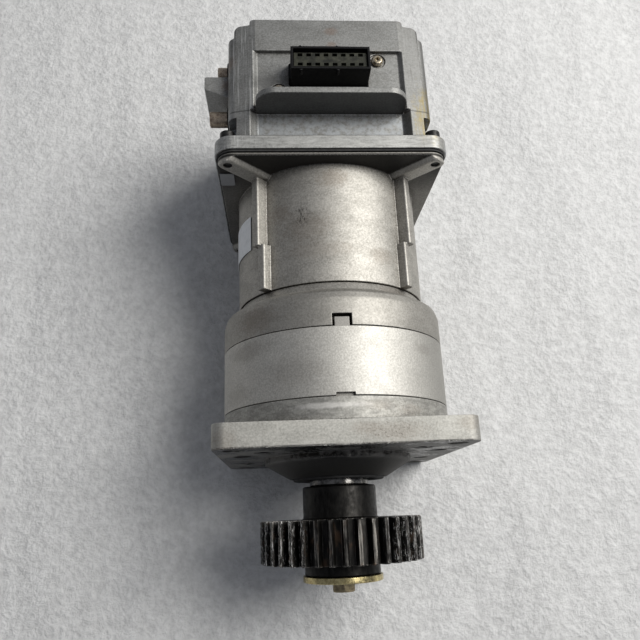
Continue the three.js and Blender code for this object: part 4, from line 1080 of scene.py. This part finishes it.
def electronics_housing():
    """Bucket with a square flange, a sunken deck with a lip across it, and a cavity open in front."""
    body = prism(body_section(), DRIVE_FRONT, DRIVE_REAR)
    plan = prism(body_plan(), BODY_BOTTOM - 1, PAD_Z + 1, "xy")
    combine(body, [plan], "INTERSECT")
    front = DRIVE_FRONT - 1
    cut(body, recess(front, LIP_FRONT + 1, FLOOR_Z), recess(LIP_FRONT, PAD_FRONT, DECK_Z))
    flange = prism(square(FLANGE_HALF, 9), DRIVE_FRONT, DRIVE_FLANGE_REAR)
    join(body, flange, connector_lip(), barrier_lug())
    wide, narrow, middle = 46, 38, 161
    slot = 7.2
    tools = [
        block(-wide, wide, front, middle + 1, -narrow, narrow),
        block(-narrow, narrow, front, middle + 1, -wide, CAVITY_TOP),
        block(-wide, wide, middle - 1, 203.2, -wide, CAVITY_TOP),
        block(-35, 35, middle - 1, 211, -wide, CAVITY_TOP),
        block(-19.5, 19.5, CONNECTOR_Y - slot, CONNECTOR_Y + slot, CAVITY_TOP - 2, 60),
    ]
    for x, z in corners(CORNER_SCREW_AT):
        tools.append(rod(6.4, DRIVE_FLANGE_REAR, 158, x, z, 48))
        tools.append(rod(CORNER_HOLE_R, front, DRIVE_FLANGE_REAR + 1, x, z))
    for x, y in CONNECTOR_SCREWS:
        tools.append(upright(4.1, DECK_Z - 0.8, DECK_Z + 1, x, y, 40))
        tools.append(upright(1.8, CAVITY_TOP - 1, DECK_Z, x, y))
    tools += [sideways(5.7, -52.2, -44, stud_y(index), STUD_Z) for index in (1, 2)]
    soften(cut(body, *tools), 0.4, 3)
    keep(body, HOUSING, "housing_casting", housing_metal, "electronics_housing")


def stud_y(index):
    low, high = local_box(f"power_stud_{index}")
    return (low.y + high.y) / 2


def lying(obj, y, z):
    """Turns a solid of revolution from the shaft axis to a line along X at (y, z)."""
    obj.data.transform(Matrix.Translation((0, y, z)) @ Matrix.Rotation(-math.pi / 2, 4, "Z"))
    return obj


def standing(obj, x, y):
    """Turns a solid of revolution from the shaft axis to a line along Z at (x, y)."""
    obj.data.transform(Matrix.Translation((x, y, 0)) @ Matrix.Rotation(math.pi / 2, 4, "X"))
    return obj


def power_studs():
    stud_r, head_r, sleeve_r, rim_r = 4, 5.4, 4.3, 6.2
    wall_outer, wall_inner, head_rear = -50.5, -45.7, -42.6
    head_front = wall_inner + 0.3
    for index in (1, 2):
        y = stud_y(index)
        end = local_box(f"power_stud_{index}")[0].x
        stud = turned([
            (0, end), (stud_r, end, 0.6), (stud_r, head_front), (head_r, head_front, 0.3),
            (head_r, head_rear, 0.3), (0, head_rear),
        ], 3, 48)
        keep(lying(stud, y, STUD_Z), HOUSING, "brass", tarnished_brass, f"power_stud_{index}")
        sleeve = turned([
            (sleeve_r, wall_outer - 1, 0.2), (rim_r, wall_outer - 1, 0.4), (rim_r, wall_outer, 0.1),
            (head_r, wall_outer), (head_r, wall_inner), (sleeve_r, wall_inner),
        ], 3, 48)
        sleeve = lying(sleeve, y, STUD_Z)
        keep(sleeve, HOUSING, "black_plastic", black_plastic, f"stud_insulator_{index}")


def flange_screws():
    seat = DRIVE_FLANGE_REAR + 0.3
    head_r, head_rear = 3.8, seat + 4.5
    for index, (x, z) in enumerate(corners(CORNER_SCREW_AT), 1):
        head = turned([
            (0, seat), (head_r, seat, 0.2), (head_r, head_rear, 0.5), (0, head_rear)], 3, 48)
        head.data.transform(Matrix.Translation((x, 0, z)))
        shank = rod(2, 135.4, seat + 1, x, z)
        socket = rod(1.7, head_rear - 2.3, head_rear + 1, x, z, 6)
        keep(cut(join(head, shank), socket), HOUSING, "screw_black", screw_black, f"flange_screw_{index}")


# ---- Connector ----


def connector_block(half_x, half_y, z0, z1):
    return block(-half_x, half_x, CONNECTOR_Y - half_y, CONNECTOR_Y + half_y, z0, z1)


def connector_shell():
    """Open box that stands through the deck, with a flange inside, snap bumps and a coding key."""
    half_x, half_y, wall = CONNECTOR_HALF_X, CONNECTOR_HALF_Y, 1.2
    shell = connector_block(half_x, half_y, 44.9, CONNECTOR_TOP)
    bumps = [
        upright(0.8, 64, CONNECTOR_TOP - 0.3, x, CONNECTOR_Y + side * half_y, 16)
        for x in (-14.5, 3.2) for side in (-1, 1)
    ]
    key = block(-half_x - 1, -half_x + 0.5, CONNECTOR_Y - 5.5, CONNECTOR_Y + 3, 46, 60)
    join(shell, connector_block(29, 13, 45.1, CAVITY_TOP - 0.3), key, *bumps)
    tools = [connector_block(half_x - wall, half_y - wall, 43, CONNECTOR_TOP + 1)]
    tools += [upright(1.8, 40, 52, x, y) for x, y in CONNECTOR_SCREWS]
    keep(soften(cut(shell, *tools), 0.25), HOUSING, "black_plastic", black_plastic, "connector_shell")


def connector_insert():
    half_x, half_y = CONNECTOR_HALF_X - 1.5, CONNECTOR_HALF_Y - 1.5
    insert = join(connector_block(half_x, half_y, 47, 52), connector_block(half_x, 3.9, 51, 66.8))
    pockets = []
    pins = []
    for column in range(COLUMNS):
        x = (column - (COLUMNS - 1) / 2) * CONTACT_PITCH
        for y in (CONNECTOR_Y - ROW_OFFSET, CONNECTOR_Y + ROW_OFFSET):
            pockets.append(block(x - 1.15, x + 1.15, y - 0.85, y + 0.85, 61, 68))
            pins.append(soften(block(x - PIN_HALF, x + PIN_HALF, y - PIN_HALF, y + PIN_HALF, 44, 65.4), 0.15))
    join(cut(insert, *pockets), *pins)
    keep(soften(insert, 0.12), HOUSING, "insert_plastic", insert_plastic, "connector_insert")


def connector_screws():
    seat = DECK_Z - 0.5
    top = seat + 2.1
    for index, (x, y) in enumerate(CONNECTOR_SCREWS, 1):
        head = turned([
            (0, seat), (2.9, seat, 0.2), (2.9, seat + 1.3, 0.4), (2.2, top, 0.3), (0, top)], 3, 48)
        standing(head, x, y)
        socket = []
        for k in range(12):
            angle = math.pi * k / 6
            reach = 1.35 if k % 2 else 0.95
            socket.append((x + reach * math.cos(angle), y + reach * math.sin(angle)))
        cut(head, prism(socket, seat + 0.9, seat + 3, "xy"))
        join(head, upright(1.5, 44.5, seat + 0.3, x, y))
        keep(head, HOUSING, "nickel", nickel, f"connector_screw_{index}")


# ---- Pieces that keep their CAD shape ----


def numbered(name, count):
    return [f"{name}_{index}" for index in range(1, count + 1)]


CARRIED = {
    ground_steel: [
        "output_bearing_front", "output_bearing_rear", "pinion_key", "rotor_bearing_front",
        "rotor_bearing_rear", "rotor_shaft", *numbered("planet", 3), *numbered("planet_pin", 3),
    ],
    screw_black: numbered("gearbox_screw", 4),
    rubber: ["rotor_seal"],
    core_steel: ["rotor_core", "stator_core"],
    magnet_grey: ["rotor_magnets", "encoder_magnet"],
    copper_wire: ["stator_winding"],
    motor_metal: ["rear_bearing_shield"],
    board_green: ["encoder_board", "control_board"],
    black_plastic: ["power_module"],
    can_sleeve: numbered("bus_capacitor", 3),
}


def carried_nodes():
    for material, names in CARRIED.items():
        for name in names:
            for slot in frame["nodes"][name].material_slots:
                slot.link = "OBJECT"
                slot.material = material


# ---- Surroundings ----


def ground():
    half = 1.6
    vertices = [(-half, -half, 0), (half, -half, 0), (half, half, 0), (-half, half, 0)]
    floor = new_object(vertices, [(0, 1, 2, 3)], "floor")
    look = Look("pale_cloth")
    pile = look.noise(4.5, 151, detail=6, rough=0.68)
    look.base((0.66, 0.66, 0.655), (0.86, 0.86, 0.855), look.span(pile, 0.25, 0.75))
    folds = look.noise(110, 152, (1, 2.5, 1), detail=3)
    normal = look.bump(pile, 2.2, look.bump(folds, 14))
    floor.data.materials.append(look.finish(0.95, normal))


def lights():
    """One soft, slightly warm key light, and a faint bluish sky."""
    data = bpy.data.lights.new("key", "AREA")
    data.shape = "RECTANGLE"
    data.size = data.size_y = 0.8
    data.energy = 19.5
    data.color = (1, 0.985, 0.95)
    key = linked("key", data)
    place, aim = Vector((0.76, 0.33, 1.10)), Vector((0, 0, 0.05))
    key.location = place
    key.rotation_euler = (aim - place).to_track_quat("-Z", "Y").to_euler()
    world = bpy.data.worlds.new("studio")
    world.use_nodes = True
    background = world.node_tree.nodes["Background"]
    background.inputs["Color"].default_value = (0.86, 0.9, 1, 1)
    background.inputs["Strength"].default_value = 0.2
    bpy.context.scene.world = world


def camera():
    """High above the shaft, turned from straight down about Z, Y and X."""
    data = bpy.data.cameras.new("camera")
    data.sensor_width = 36
    data.lens = 35.163
    data.clip_start = 0.01
    view = linked("camera", data)
    place = SHAFT + Vector((-28.486, -26.591, 316.456)) * MM
    turn = Matrix.Identity(4)
    for angle, axis in ((-0.0415114, "Z"), (-0.0588450, "Y"), (0.3032837, "X")):
        turn = turn @ Matrix.Rotation(angle, 4, axis)
    view.matrix_world = Matrix.Translation(place) @ turn
    bpy.context.scene.camera = view


bpy.context.scene.view_settings.view_transform = "Standard"
camera()
ground()
lights()
for build in (
    output_flange, shaft_seal, output_shaft, pinion, pinion_fasteners, ring_gear, motor_bell,
    motor_housing, films, housing_gasket, electronics_housing, power_studs, flange_screws,
    connector_shell, connector_insert, connector_screws, carried_nodes,
):
    build()
